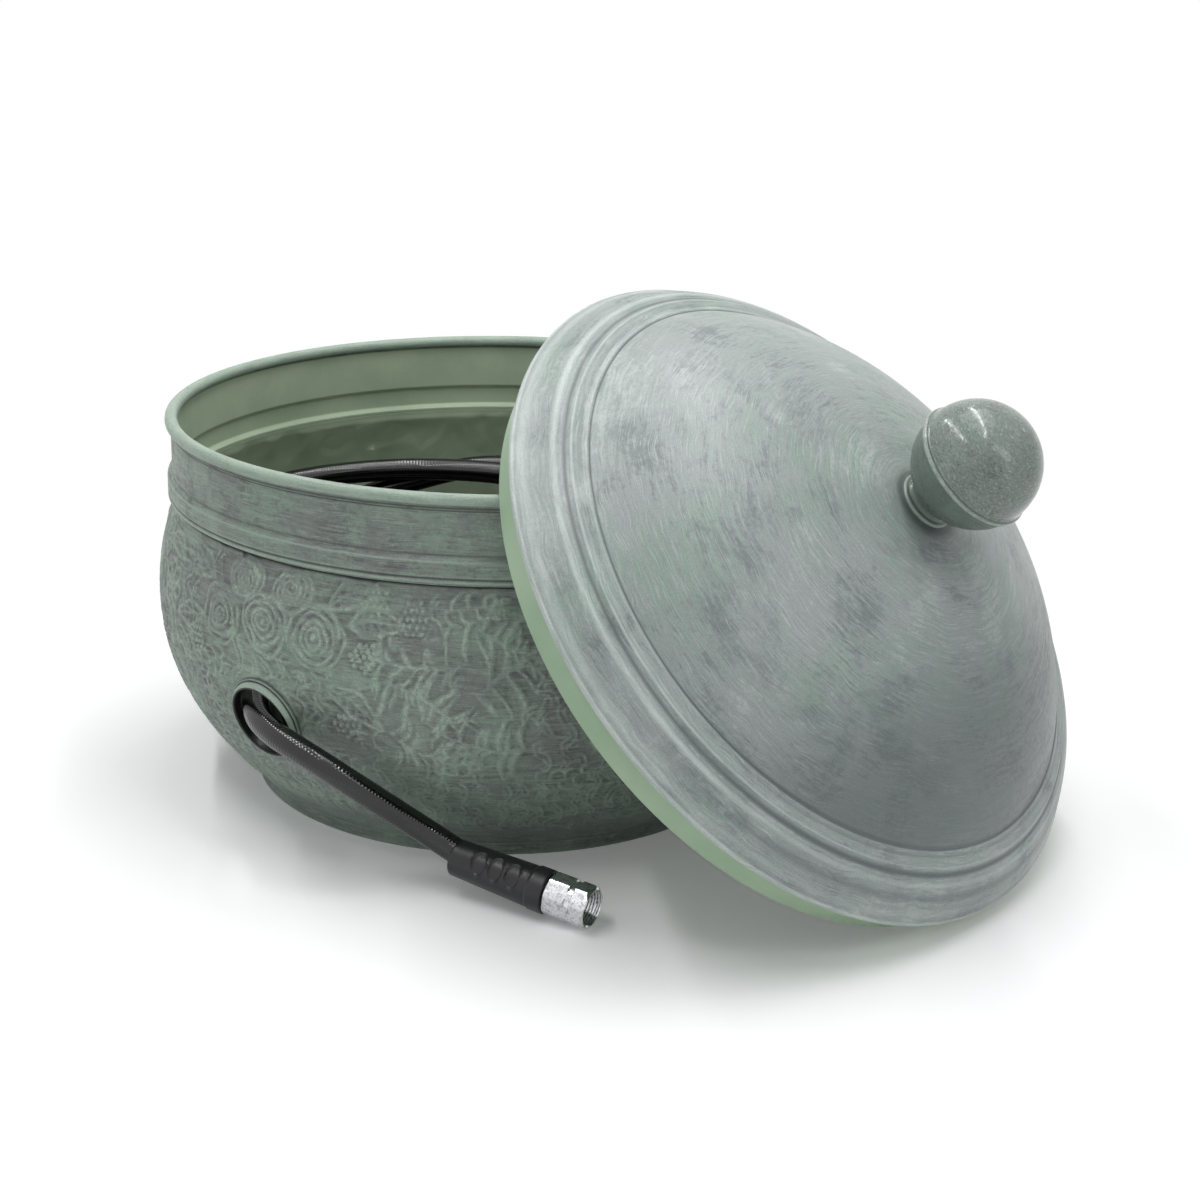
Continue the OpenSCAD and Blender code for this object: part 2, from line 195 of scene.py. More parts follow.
def bridge(before: Array, after: Array, steps: int = 9) -> Array:
    """Joins two lines smoothly.

    Args:
        before: the last points of the first line.
        after: the first points of the second line.
        steps: how many pieces the join gets.

    Returns:
        The points between the two lines.
    """
    start, end = before[-1], after[0]
    reach = np.linalg.norm(end - start)
    leave = (before[-1] - before[-2]) / np.linalg.norm(before[-1] - before[-2]) * reach
    arrive = (after[1] - after[0]) / np.linalg.norm(after[1] - after[0]) * reach
    t = np.linspace(0, 1, steps + 1)[1:-1, None]
    return ((2 * t**3 - 3 * t**2 + 1) * start + (t**3 - 2 * t**2 + t) * leave + (3 * t**2 - 2 * t**3) * end
            + (t**3 - t**2) * arrive)


def beside(line: Array, distance: float) -> Array:
    """Moves a line sideways, to its left.

    Args:
        line: the line's points, one a row.
        distance: how far.

    Returns:
        The moved points.
    """
    run = np.gradient(line, axis=0)
    run /= np.linalg.norm(run, axis=1)[:, None] + 1e-12
    return line + distance * np.stack([-run[:, 1], run[:, 0]], axis=1)


def make_object(name: str, data: Any) -> Thing:
    """Links a new object that shows a mesh, or is a lamp or a camera.

    Args:
        name: the object's name.
        data: its mesh, lamp or camera data.

    Returns:
        The new object.
    """
    thing = bpy.data.objects.new(name, data)
    bpy.context.scene.collection.objects.link(thing)
    return thing


def grid_faces(rows: int, columns: int, joined_rows: bool, joined_columns: bool) -> Array:
    """Lists the four-cornered faces of a grid of points.

    Args:
        rows: number of rows.
        columns: number of points in a row.
        joined_rows: whether the last row meets the first.
        joined_columns: whether each row closes on itself.

    Returns:
        Four point numbers a row.
    """
    i = np.arange(rows if joined_rows else rows - 1)
    j = np.arange(columns if joined_columns else columns - 1)
    i, j = np.meshgrid(i, j, indexing="ij")
    up, right = (i + 1) % rows, (j + 1) % columns
    corners = [i * columns + j, i * columns + right, up * columns + right, up * columns + j]
    return np.stack([c.ravel() for c in corners], axis=1)


def build_mesh(name: str, points: Array, faces: Array) -> Mesh:
    """Builds a mesh from points in millimetres.

    Args:
        name: the mesh's name.
        points: the points, one a row.
        faces: the four point numbers of each face.

    Returns:
        The mesh, in metres.
    """
    mesh = bpy.data.meshes.new(name)
    mesh.vertices.add(len(points))
    mesh.vertices.foreach_set("co", (points * MM).ravel())
    mesh.loops.add(faces.size)
    mesh.loops.foreach_set("vertex_index", faces.ravel())
    mesh.polygons.add(len(faces))
    mesh.polygons.foreach_set("loop_start", np.arange(0, faces.size, 4))
    mesh.update(calc_edges=True)
    return mesh


def store(mesh: Mesh, name: str, values: Array) -> None:
    """Writes one number or vector for each point of a mesh.

    Args:
        mesh: the mesh.
        name: the attribute's name.
        values: the numbers, one or three a point.
    """
    kind, key = ("FLOAT", "value") if values.ndim == 1 else ("FLOAT_VECTOR", "vector")
    layer = mesh.attributes.new(name, kind, "POINT")
    layer.data.foreach_set(key, np.ascontiguousarray(values, dtype=np.float32).ravel())


def read_vectors(items: Any, key: str) -> Array:
    """Reads a vector of each vertex or face.

    Args:
        items: the vertices or the faces.
        key: the vector's name.

    Returns:
        The vectors, one a row.
    """
    values = np.empty(len(items) * 3, np.float32)
    items.foreach_get(key, values)
    return values.reshape(-1, 3)


def second_paint(mesh: Mesh, paint: Paint, chosen: Array) -> None:
    """Gives the chosen faces of a mesh a second paint."""
    mesh.materials.append(paint)
    mesh.polygons.foreach_set("material_index", chosen.astype(np.int32))


def turn_outwards(mesh: Mesh, merged: bool = True) -> None:
    """Drops loose points, turns every face outwards and smooths it.

    Args:
        mesh: the mesh.
        merged: whether doubles are merged first.
    """
    work = bmesh.new()
    work.from_mesh(mesh)
    if merged:
        bmesh.ops.remove_doubles(work, verts=work.verts, dist=1e-6)
        bmesh.ops.dissolve_degenerate(work, edges=work.edges, dist=1e-7)
    loose = [v for v in work.verts if not v.link_faces]
    bmesh.ops.delete(work, geom=loose, context="VERTS")
    bmesh.ops.recalc_face_normals(work, faces=work.faces)
    work.to_mesh(mesh)
    work.free()
    mesh.polygons.foreach_set("use_smooth", [True] * len(mesh.polygons))


def tidy_mesh(mesh: Mesh, sharp_degrees: float = 40.0) -> None:
    """Merges doubles, turns faces outwards and keeps edges sharp that bend more than an angle."""
    turn_outwards(mesh)
    mesh.set_sharp_from_angle(angle=math.radians(sharp_degrees))


def evaluated(thing: Thing, name: str) -> Mesh:
    """Keeps what an object's modifiers make of it.

    Args:
        thing: the object.
        name: the new mesh's name.

    Returns:
        The plain mesh.
    """
    graph = bpy.context.evaluated_depsgraph_get()
    graph.update()
    mesh = bpy.data.meshes.new_from_object(thing.evaluated_get(graph), depsgraph=graph)
    mesh.name = name
    return mesh


def finish_nodes(source: Thing, tree: bpy.types.NodeTree, name: str, inputs: dict[str, Any]) -> Thing:
    """Runs a Geometry Nodes tree on an object and keeps the result as a plain mesh.

    Args:
        source: the object the tree starts from; it is removed afterwards.
        tree: the tree.
        name: the new piece's name.
        inputs: the values of the tree's named inputs.

    Returns:
        The new piece.
    """
    modifier = source.modifiers.new("nodes", "NODES")
    modifier.node_group = tree
    sockets = {s.name: s.identifier for s in tree.interface.items_tree if s.in_out == "INPUT"}
    for key, value in inputs.items():
        modifier[sockets[key]] = value
    mesh = evaluated(source, name)
    source.modifiers.remove(modifier)
    start = source.data
    bpy.data.objects.remove(source)
    bpy.data.meshes.remove(start)
    return make_object(name, mesh)


class Wiring:
    """Puts nodes into a shader tree or a Geometry Nodes tree and links them."""

    def __init__(self, tree: bpy.types.NodeTree) -> None:
        """Starts with a tree."""
        self.tree = tree

    def put(self, kind: str, values: dict[Any, Any] | None = None, **settings: Any) -> bpy.types.Node:
        """Adds one node.

        Args:
            kind: Blender's name of the node type.
            values: what goes into its inputs, by name or number: a socket or a node's first output is
                linked, a value is set.
            **settings: the node's own settings.

        Returns:
            The new node.
        """
        node = self.tree.nodes.new(kind)
        for key, value in settings.items():
            setattr(node, key, value)
        for key, value in (values or {}).items():
            if isinstance(value, bpy.types.Node):
                value = value.outputs[0]
            if isinstance(value, Socket):
                self.tree.links.new(value, node.inputs[key])
            else:
                node.inputs[key].default_value = value
        return node

    def sum(self, operation: str, *values: Any) -> Socket:
        """Calculates with numbers."""
        return self.put("ShaderNodeMath", dict(enumerate(values)), operation=operation).outputs[0]

    def seen(self) -> Socket:
        """Returns 1 for the rays that show the background: from the camera, a gloss or a glass."""
        path = self.put("ShaderNodeLightPath").outputs
        shiny = self.sum("MAXIMUM", path["Is Glossy Ray"], path["Is Transmission Ray"])
        return self.sum("MAXIMUM", path["Is Camera Ray"], shiny)


class PieceTree(Wiring):
    """A Geometry Nodes tree with named inputs that ends in one dressed piece."""

    def __init__(self, name: str, inputs: dict[str, str]) -> None:
        """Starts the tree.

        Args:
            name: the tree's name.
            inputs: the kind of socket for each named input.
        """
        super().__init__(bpy.data.node_groups.new(name, "GeometryNodeTree"))
        for key, kind in inputs.items():
            self.tree.interface.new_socket(key, in_out="INPUT", socket_type="NodeSocket" + kind)
        self.tree.interface.new_socket("Piece", in_out="OUTPUT", socket_type="NodeSocketGeometry")
        self.given = self.put("NodeGroupInput").outputs

    def stored(self, name: str) -> Socket:
        """Returns a number stored on the points."""
        return self.put("GeometryNodeInputNamedAttribute", {"Name": name}, data_type="FLOAT").outputs[0]

    def noted(self, shape: Any, name: str, value: Any, kind: str) -> bpy.types.Node:
        """Stores a value on the points of a shape."""
        return self.put("GeometryNodeStoreNamedAttribute", {"Geometry": shape, "Name": name, "Value": value},
                        data_type=kind, domain="POINT")

    def close(self, shape: Any) -> None:
        """Realizes a shape, gives it the finish and ends the tree."""
        real = self.put("GeometryNodeRealizeInstances", {"Geometry": shape})
        dressed = self.put("GeometryNodeSetMaterial", {"Geometry": real, "Material": self.given["Finish"]})
        self.put("NodeGroupOutput", {0: dressed})


class Recipe(Wiring):
    """The node tree of one material, with short names for the steps that finishes are made of."""

    def __init__(self, name: str) -> None:
        """Starts an empty material.

        Args:
            name: the material's name.
        """
        self.material = bpy.data.materials.new(name)
        self.material.use_nodes = True
        super().__init__(self.material.node_tree)
        self.tree.nodes.clear()

    def craft(self) -> Socket:
        """Returns the place on a turned piece: x and y, and the length along its section."""
        return self.put("ShaderNodeAttribute", attribute_name="craft").outputs["Vector"]

    def object_place(self) -> Socket:
        """Returns the place in the piece's own coordinates."""
        return self.put("ShaderNodeTexCoord").outputs["Object"]

    def number(self, attribute: str) -> Socket:
        """Returns a number stored on the mesh."""
        return self.put("ShaderNodeAttribute", attribute_name=attribute).outputs["Fac"]

    def stretched(self, place: Socket, scale: Spot, shift: float = 0.0) -> Socket:
        """Scales a place, and shifts it so that one pattern differs from the next."""
        values = {"Vector": place, "Scale": scale, "Location": (shift, shift * 0.7, shift * 1.3)}
        return self.put("ShaderNodeMapping", values).outputs["Vector"]

    def shifted(self, place: Socket, shift: float) -> Socket:
        """Shifts a place, so that one pattern differs from the next."""
        return self.stretched(place, (1, 1, 1), shift)

    def noise(self, place: Socket, scale: float, detail: float = 3.0,
              rough: float = 0.55, wobble: float = 0.0) -> Socket:
        """Reads a cloud noise."""
        values = {"Vector": place, "Scale": scale, "Detail": detail, "Roughness": rough, "Distortion": wobble}
        return self.put("ShaderNodeTexNoise", values).outputs["Fac"]

    def rise(self, value: Socket, low: float, high: float, bottom: float = 0.0, top: float = 1.0) -> Socket:
        """Maps a number smoothly from one range to another."""
        values = {"Value": value, "From Min": low, "From Max": high, "To Min": bottom, "To Max": top}
        return self.put("ShaderNodeMapRange", values, interpolation_type="SMOOTHSTEP").outputs["Result"]

    def mix(self, share: Any, first: Any, second: Any, how: str = "MIX") -> Socket:
        """Mixes two colours."""
        node = self.put("ShaderNodeMix", {0: share, 6: first, 7: second}, data_type="RGBA", blend_type=how)
        return node.outputs[2]

    def over(self, colour: Any, coat: Any, value: Any, low: float, high: float, most: float = 1.0) -> Any:
        """Lays a coat over a colour where a number rises."""
        return self.mix(self.rise(value, low, high, 0.0, most), colour, coat)

    def swing(self, value: Socket, gain: float) -> Socket:
        """Turns a noise around 0.5 into one around 0, times a gain."""
        return self.sum("MULTIPLY", self.sum("SUBTRACT", value, 0.5), gain)

    def bump(self, height: Socket, millimetres: float, strength: float) -> Socket:
        """Turns a height of 0 to 1 into a normal that is bent as by a relief in millimetres."""
        values = {"Height": height, "Distance": millimetres * MM, "Strength": strength}
        return self.put("ShaderNodeBump", values).outputs["Normal"]

    def close(self, colour: Any, rough: Any, normal: Any, **more: float) -> Paint:
        """Adds the surface shader and the output.

        Args:
            colour: the base colour.
            rough: the roughness.
            normal: the normal.
            **more: the shader's other values, with _ for a space.

        Returns:
            The finished material.
        """
        values = {"Base Color": colour, "Roughness": rough, "Normal": normal}
        values.update({key.replace("_", " "): value for key, value in more.items()})
        self.put("ShaderNodeOutputMaterial", {"Surface": self.put("ShaderNodeBsdfPrincipled", values)})
        return self.material


@dataclass(frozen=True)
class AgedPaint:
    """Green paint with a grey wash brushed over it and partly taken off again; the stored tone paints edges
    pale, partly as wear and partly as painted highlight, and paints creases and shaded bands dark as painted
    shade.
    """

    name: str
    ground: Colour = tint(130, 150, 134)
    wash: Colour = tint(119, 124, 121)
    smudge: Colour = tint(99, 100, 101)
    # pale paint where the wash is taken off the relief and edges, also the colour of painted highlights
    rubbed_and_highlight: Colour = tint(162, 181, 164)
    # dark wash in strokes and hollows, also the colour of painted shade in creases
    crease: Colour = tint(62, 66, 63)
    cover: float = 0.5
    smudged: float = 0.7
    lifted: float = 0.5
    stroke_length: float = 17.0
    stroke_width: float = 0.9
    stroke: float = 0.5
    wander: float = 3.0
    gloss: float = 0.42
    cloud: float = 60.0
    specks: float = 0.3
    pebbled: float = 0.1

    def material(self) -> Paint:
        """Builds the material."""
        r = Recipe(self.name)
        place = r.craft()
        patch = 1 / (self.cloud * MM)
        stray = r.swing(r.noise(r.shifted(place, 5.3), 25, 2, 0.5), 2 * self.wander * MM)
        offset = r.put("ShaderNodeCombineXYZ", {"Z": stray})
        brushed = r.put("ShaderNodeVectorMath", {0: place, 1: offset}, operation="ADD").outputs[0]
        clouds = r.noise(place, patch, 5, 0.62, 0.5)
        patches = r.noise(r.shifted(place, 3.1), patch * 1.5, 5, 0.66, 0.4)
        bright = r.noise(r.shifted(place, 9.7), patch * 0.9, 4, 0.62, 0.4)
        mottle = r.noise(place, 240, 4, 0.72)
        grain = r.noise(place, 1100, 2, 0.7)
        along = 1000 / self.stroke_length
        across = 1000 / self.stroke_width
        fine = r.noise(r.stretched(brushed, (along, along, across)), 1.0, 3, 0.6)
        broad = r.noise(r.stretched(brushed, (along * 0.55, along * 0.55, across * 0.3), 7.0), 1.0, 4, 0.66)
        broken = r.sum("ADD", r.swing(broad, 0.7), r.swing(mottle, 0.5))
        clouds, patched, brightened = (r.sum("ADD", layer, broken) for layer in (clouds, patches, bright))
        bias = 0.5 - self.cover
        colour = r.over(self.ground, self.wash, clouds, 0.34 + bias, 0.66 + bias)
        colour = r.over(colour, self.smudge, patched, 0.48, 0.74, self.smudged)
        colour = r.over(colour, self.rubbed_and_highlight, brightened, 0.5, 0.78, self.lifted)
        dark_here = r.rise(r.sum("ADD", patches, mottle), 0.8, 1.2, 0.3, 1.0)
        strokes = r.sum("MULTIPLY", r.rise(fine, 0.53, 0.68, 0.0, self.stroke), dark_here)
        colour = r.mix(strokes, colour, self.crease)
        colour = r.over(colour, self.rubbed_and_highlight, fine, 0.46, 0.3, self.stroke)
        relief = r.number("relief")
        raised = r.sum("MULTIPLY", r.rise(relief, 0.1, 0.95), r.rise(mottle, 0.36, 0.6, 0.2, 1.0))
        raised = r.sum("MULTIPLY", raised, r.rise(brightened, 0.34, 0.6, 0.28, 1.0))
        colour = r.mix(raised, colour, self.rubbed_and_highlight)
        colour = r.over(colour, self.rubbed_and_highlight, relief, 1.1, 1.3, 0.8)
        sunk = r.sum("MULTIPLY", r.rise(relief, -0.08, -0.75, 0.0, 0.75), r.rise(broad, 0.36, 0.62, 0.3, 1.0))
        colour = r.mix(sunk, colour, self.crease)
        # painted light: the stored tone turns edges pale, as wear and as painted highlight, and creases and
        # shaded bands dark, as painted shade
        tone = r.number("tone")
        wear_and_light = r.sum("MULTIPLY", r.rise(tone, 0.1, 0.9), r.rise(broad, 0.32, 0.6, 0.35, 0.85))
        colour = r.over(r.mix(wear_and_light, colour, self.rubbed_and_highlight), self.crease, tone, -0.1, -0.8, 0.85)
        shade = r.rise(grain, 0.28, 0.72, 1.0 - self.specks * 0.55, 1.0 + self.specks * 0.45)
        grey = r.put("ShaderNodeCombineColor", {0: shade, 1: shade, 2: shade}).outputs[0]
        colour = r.mix(1.0, colour, grey, "MULTIPLY")
        rough = r.rise(r.sum("ADD", broad, mottle), 0.8, 1.2, self.gloss - 0.05, self.gloss + 0.13)
        pebbles = r.sum("ADD", mottle, r.sum("MULTIPLY", grain, 0.15))
        height = r.sum("ADD", r.sum("MULTIPLY", fine, 0.4), pebbles)
        return r.close(colour, rough, r.bump(height, self.pebbled, 0.7))


@dataclass(frozen=True)
class PlainPaint:
    """Smooth sage paint with faint clouds and specks; painted shade darkens it low down in the pot."""

    name: str
    ground: Colour = tint(150, 168, 142)
    shade: Colour = tint(134, 154, 130)
    gloss: float = 0.38
    deep_shade: float = 0.0

    def material(self) -> Paint:
        """Builds the material."""
        r = Recipe(self.name)
        place = r.object_place()
        clouds = r.noise(place, 14, 3, 0.5)
        grain = r.noise(place, 600, 2, 0.6)
        colour = r.over(self.ground, self.shade, clouds, 0.35, 0.7)
        colour = r.over(colour, tint(96, 110, 96), grain, 0.55, 0.75, 0.12)
        height = r.put("ShaderNodeSeparateXYZ", {0: place}).outputs["Z"]
        # painted shade: darker towards the bottom, below 185 mm
        colour = r.over(colour, tint(34, 38, 34), height, 0.185, 0.07, self.deep_shade)
        rough = r.rise(clouds, 0.3, 0.7, self.gloss - 0.05, self.gloss + 0.08)
        return r.close(colour, rough, r.bump(grain, 0.06, 0.5))


@dataclass(frozen=True)
class BareMetal:
    """Bright plated or plain metal with fine scratches; the plating gets dark patches painted on as
    reflections.
    """

    name: str
    colour: Colour
    gloss: float
    scratch: float = 0.15
    painted_reflection: float = 0.0

    def material(self) -> Paint:
        """Builds the material."""
        r = Recipe(self.name)
        place = r.object_place()
        fine = r.noise(r.stretched(place, (300, 2200, 2200)), 1.0, 3, 0.6)
        cloud = r.noise(place, 60, 3, 0.6)
        dull = (self.colour[0] * 0.78, self.colour[1] * 0.78, self.colour[2] * 0.8, 1.0)
        colour = r.over(self.colour, dull, cloud, 0.4, 0.75, 0.6)
        # painted reflection: dark bluish patches
        colour = r.over(colour, tint(92, 94, 102), r.noise(place, 420, 4, 0.7), 0.46, 0.6, self.painted_reflection)
        rough = r.rise(r.sum("ADD", fine, cloud), 0.8, 1.25, self.gloss, self.gloss + self.scratch)
        return r.close(colour, rough, r.bump(fine, 0.02, 0.4), Metallic=1.0)


@dataclass(frozen=True)
class HoseJacket:
    """Black ribbed hose jacket with a slight shine and a little dust."""

    name: str = "hose_jacket"

    def material(self) -> Paint:
        """Builds the material."""
        r = Recipe(self.name)
        place = r.object_place()
        dust = r.noise(place, 90, 4, 0.65)
        grain = r.noise(place, 1500, 3, 0.7)
        colour = r.over(tint(10, 10, 11), tint(28, 27, 26), dust, 0.5, 0.85, 0.5)
        rough = r.rise(r.sum("ADD", grain, dust), 0.7, 1.3, 0.06, 0.15)
        return r.close(colour, rough, r.bump(grain, 0.02, 0.5), Specular_IOR_Level=0.62)


@dataclass(frozen=True)
class GripRubber:
    """Matt black moulded rubber."""

    name: str = "grip_rubber"

    def material(self) -> Paint:
        """Builds the material."""
        r = Recipe(self.name)
        place = r.object_place()
        cloud = r.noise(place, 70, 3, 0.6)
        grain = r.noise(place, 1900, 3, 0.7)
        colour = r.over(tint(27, 27, 30), tint(42, 42, 46), cloud, 0.4, 0.75, 0.6)
        return r.close(colour, r.rise(cloud, 0.3, 0.7, 0.3, 0.42), r.bump(grain, 0.06, 0.7))


class Finishes:
    """Every material of the piece, built once."""

    def __init__(self) -> None:
        """Builds the materials."""
        belly = AgedPaint("embossed_sage_paint", cover=0.54, lifted=0.6, pebbled=0.6, gloss=0.44)
        self.belly = belly.material()
        self.collar = AgedPaint("collar_sage_paint", smudged=0.85, cloud=45, pebbled=0.12).material()
        lid = AgedPaint(
            "lid_brushed_paint", tint(134, 154, 144), tint(148, 155, 153), tint(100, 109, 109),
            tint(194, 203, 199), tint(84, 92, 92), cover=0.6, smudged=0.72, lifted=0.6, stroke_length=19,
            stroke_width=0.75, stroke=0.36, wander=6, cloud=85, gloss=0.36, specks=0.22,
        )
        self.lid = lid.material()
        self.knob = replace(
            lid, name="knob_speckled_paint", ground=tint(116, 134, 122), wash=tint(118, 127, 122),
            smudge=tint(84, 94, 90), rubbed_and_highlight=tint(166, 180, 170), crease=tint(58, 68, 64), smudged=0.75,
            lifted=0.3, stroke_length=2.6, stroke_width=1.1, stroke=0.6, wander=0, cloud=30, gloss=0.14,
            specks=0.36, pebbled=0.006,
        ).material()
        self.cup = replace(
            lid, name="knob_cup_paint", ground=tint(112, 130, 118), wash=tint(104, 116, 108),
            smudge=tint(88, 98, 92), rubbed_and_highlight=tint(146, 162, 150), crease=tint(60, 70, 64), smudged=0.4,
            lifted=0.15, stroke=0.15, cloud=22, gloss=0.26, pebbled=0.03,
        ).material()
        self.pale = PlainPaint("pale_sage_paint", tint(166, 190, 160), tint(152, 178, 148)).material()
        # painted shade darkens the inside of the pot low down
        inside = PlainPaint("inside_sage_paint", tint(192, 209, 180), tint(172, 190, 162), deep_shade=0.9)
        self.inside = inside.material()
        # painted shade: near-black paint in the eyelet's bore, standing in for the dark inside of the pot
        self.bore_shade = PlainPaint("bore_painted_shade", tint(20, 22, 20), tint(12, 13, 12)).material()
        self.steel = BareMetal("plain_steel", tint(176, 177, 178), 0.3).material()
        # the plating gets dark patches painted on as reflections
        self.chrome = BareMetal("bright_plating", tint(222, 223, 226), 0.12, 0.14, 0.4).material()
        self.brass = BareMetal("turned_brass", tint(205, 176, 112), 0.22).material()
        self.hose = HoseJacket().material()
        self.grip = GripRubber().material()


@dataclass
class Studio:
    """The plain pale floor, the soft lights and the camera."""

    eye: Spot = (1.1018, -1.2946, 0.6986)
    forward: Spot = (-0.58205, 0.74869, -0.31729)
    roll: float = 1.209
    lens: float = 68.95
    sensor: float = 36.0
    floor_half: float = 4000.0
    shadow_reach: Pair = (0.4, 0.72)

    def camera(self) -> None:
        """Places the camera."""
        data = bpy.data.cameras.new("camera")
        data.lens = self.lens
        data.sensor_width = self.sensor
        data.clip_end = 50.0
        view = make_object("camera", data)
        view.location = self.eye
        turned = Quaternion((0, 0, 1), math.radians(self.roll))
        view.rotation_mode = "QUATERNION"
        view.rotation_quaternion = Vector(self.forward).to_track_quat("-Z", "Y") @ turned
        bpy.context.scene.camera = view

    def floor(self) -> None:
        """Makes the floor: it takes shadows near the pot and turns plain white further out."""
        corners = np.array([[-1, -1, 0], [1, -1, 0], [1, 1, 0], [-1, 1, 0]]) * self.floor_half
        ground = make_object("floor", build_mesh("floor", corners, np.array([[0, 1, 2, 3]])))
        r = Recipe("pale_floor")
        middle = r.put("ShaderNodeVectorMath", {0: r.object_place(), 1: (-0.1, 0.0, 0.0)}, operation="ADD")
        away = r.put("ShaderNodeVectorMath", {0: middle}, operation="LENGTH").outputs["Value"]
        catching = r.put("ShaderNodeBsdfDiffuse", {"Color": (0.86, 0.86, 0.86, 1.0)})
        softer = r.put("ShaderNodeBsdfDiffuse", {"Color": (1.0, 1.0, 1.0, 1.0)})
        glow = r.put("ShaderNodeEmission", {"Color": (1, 1, 1, 1), "Strength": 0.1})
        white = r.put("ShaderNodeEmission", {"Color": (1, 1, 1, 1), "Strength": 1.0})
        near = r.put("ShaderNodeAddShader", {0: softer, 1: glow})
        shown = r.put("ShaderNodeMixShader", {0: r.rise(away, *self.shadow_reach), 1: near, 2: white})
        surface = r.put("ShaderNodeMixShader", {0: r.seen(), 1: catching, 2: shown})
        r.put("ShaderNodeOutputMaterial", {"Surface": surface})
        ground.data.materials.append(r.material)

    def lamp(self, name: str, place: Spot, aim: Spot, size: Pair, power: float) -> None:
        """Hangs one soft box.

        Args:
            name: the lamp's name.
            place: where it hangs, in metres.
            aim: the point it faces, in metres.
            size: its width and height in metres.
            power: its power in watts.
        """
        data = bpy.data.lights.new(name, "AREA")
        data.shape = "RECTANGLE"
        data.size, data.size_y = size
        data.energy = power
        to_the_right = (0.715, -0.699, 0.0)
        light = make_object(name, data)
        light.matrix_world = upright([v / MM for v in place], Vector(place) - Vector(aim), to_the_right)

    def lights(self) -> None:
        """Hangs the soft boxes and sets the pale surroundings."""
        self.lamp("top_box", (0.1, 0.3, 2.0), (0.0, 0.0, 0.1), (1.4, 1.2), 9)
        self.lamp("near_strip", (-0.6, -0.48, 1.9), (-0.1, 0.0, 0.2), (2.5, 0.09), 14)
        self.lamp("far_strip", (0.26, 0.26, 1.9), (0.15, 0.05, 0.2), (2.5, 0.05), 11)
        self.lamp("right_box", (2.0, -0.3, 1.3), (0.3, 0.0, 0.2), (0.4, 1.2), 4)
        world = bpy.data.worlds.new("pale_room")
        world.use_nodes = True
        bpy.context.scene.world = world
        w = Wiring(world.node_tree)
        world.node_tree.nodes.clear()
        room = w.put("ShaderNodeBackground", {"Color": (0.96, 0.98, 1.0, 1.0), "Strength": 0.44})
        white = w.put("ShaderNodeBackground", {"Color": (1, 1, 1, 1), "Strength": 1.0})
        both = w.put("ShaderNodeMixShader", {0: w.seen(), 1: room, 2: white})
        w.put("ShaderNodeOutputWorld", {"Surface": both})
        bpy.context.scene.view_settings.view_transform = "Standard"

    def build(self) -> None:
        """Sets the studio up."""
        self.camera()
        self.floor()
        self.lights()


@dataclass
class Section:
    """The line that a turned piece is spun from."""

    points: Array
    sharp: float = 0.06
    beside_bends: tuple[float, ...] = (0.5, 1.1, 2.0, 3.4)

    @staticmethod
    def sheet(outside: Array, thick: float) -> "Section":
        """Makes the section of a bent sheet."""
        return Section(np.concatenate([outside, beside(outside, thick)[::-1]]))

    def refined(self, longest: float) -> "Section":
        """Adds points beside bends and on long stretches.

        Args:
            longest: the longest stretch left.

        Returns:
            The refined section.
        """
        points = self.points
        ends = np.roll(points, -1, axis=0)
        bent = np.abs(self.turns()) > self.sharp
        result = []
        for i, (start, end) in enumerate(zip(points, ends)):
            length = float(np.linalg.norm(end - start))
            if length < 1e-9:
                continue
            near = [m for m in self.beside_bends if m < length * 0.5 and length > 1.2]
            spots = {0.0, length}
            spots.update(near if bent[i] else [])
            spots.update(length - m for m in near if bent[(i + 1) % len(points)])
            spots = sorted(spots)
            for low, high in zip(spots[:-1], spots[1:]):
                pieces = max(1, math.ceil((high - low) / longest))
                result += [start + (end - start) * (low + (high - low) * k / pieces) / length
                           for k in range(pieces)]
        return Section(np.array(result))

    def turns(self) -> Array:
        """Returns the bend at each point in radians, above 0 where it bends outwards."""
        points = self.points
        before, after = np.roll(points, 1, axis=0), np.roll(points, -1, axis=0)
        a, b = points - before, after - points
        turn = np.arctan2(a[:, 0] * b[:, 1] - a[:, 1] * b[:, 0], (a * b).sum(axis=1))
        area = float(np.sum(points[:, 0] * after[:, 1] - after[:, 0] * points[:, 1]))
        return turn * (1.0 if area > 0 else -1.0)

    def tone(self, spread: float = 1.0) -> Array:
        """Finds edges and creases, which the paints turn into pale edges, partly painted highlight, and
        painted shade in the creases.

        Args:
            spread: how far from a bend its tone reaches, in mm.

        Returns:
            For each point, above 0 on an outward edge and below 0 in a crease.
        """
        points = self.points
        apart = np.linalg.norm(points[:, None, :] - points[None, :, :], axis=2)
        along = lengths_of(points)
        near = np.exp(-((apart / spread) ** 2)) * (np.abs(along[:, None] - along[None, :]) < 6 * spread)
        return np.tanh((near @ self.turns()) / 0.9)


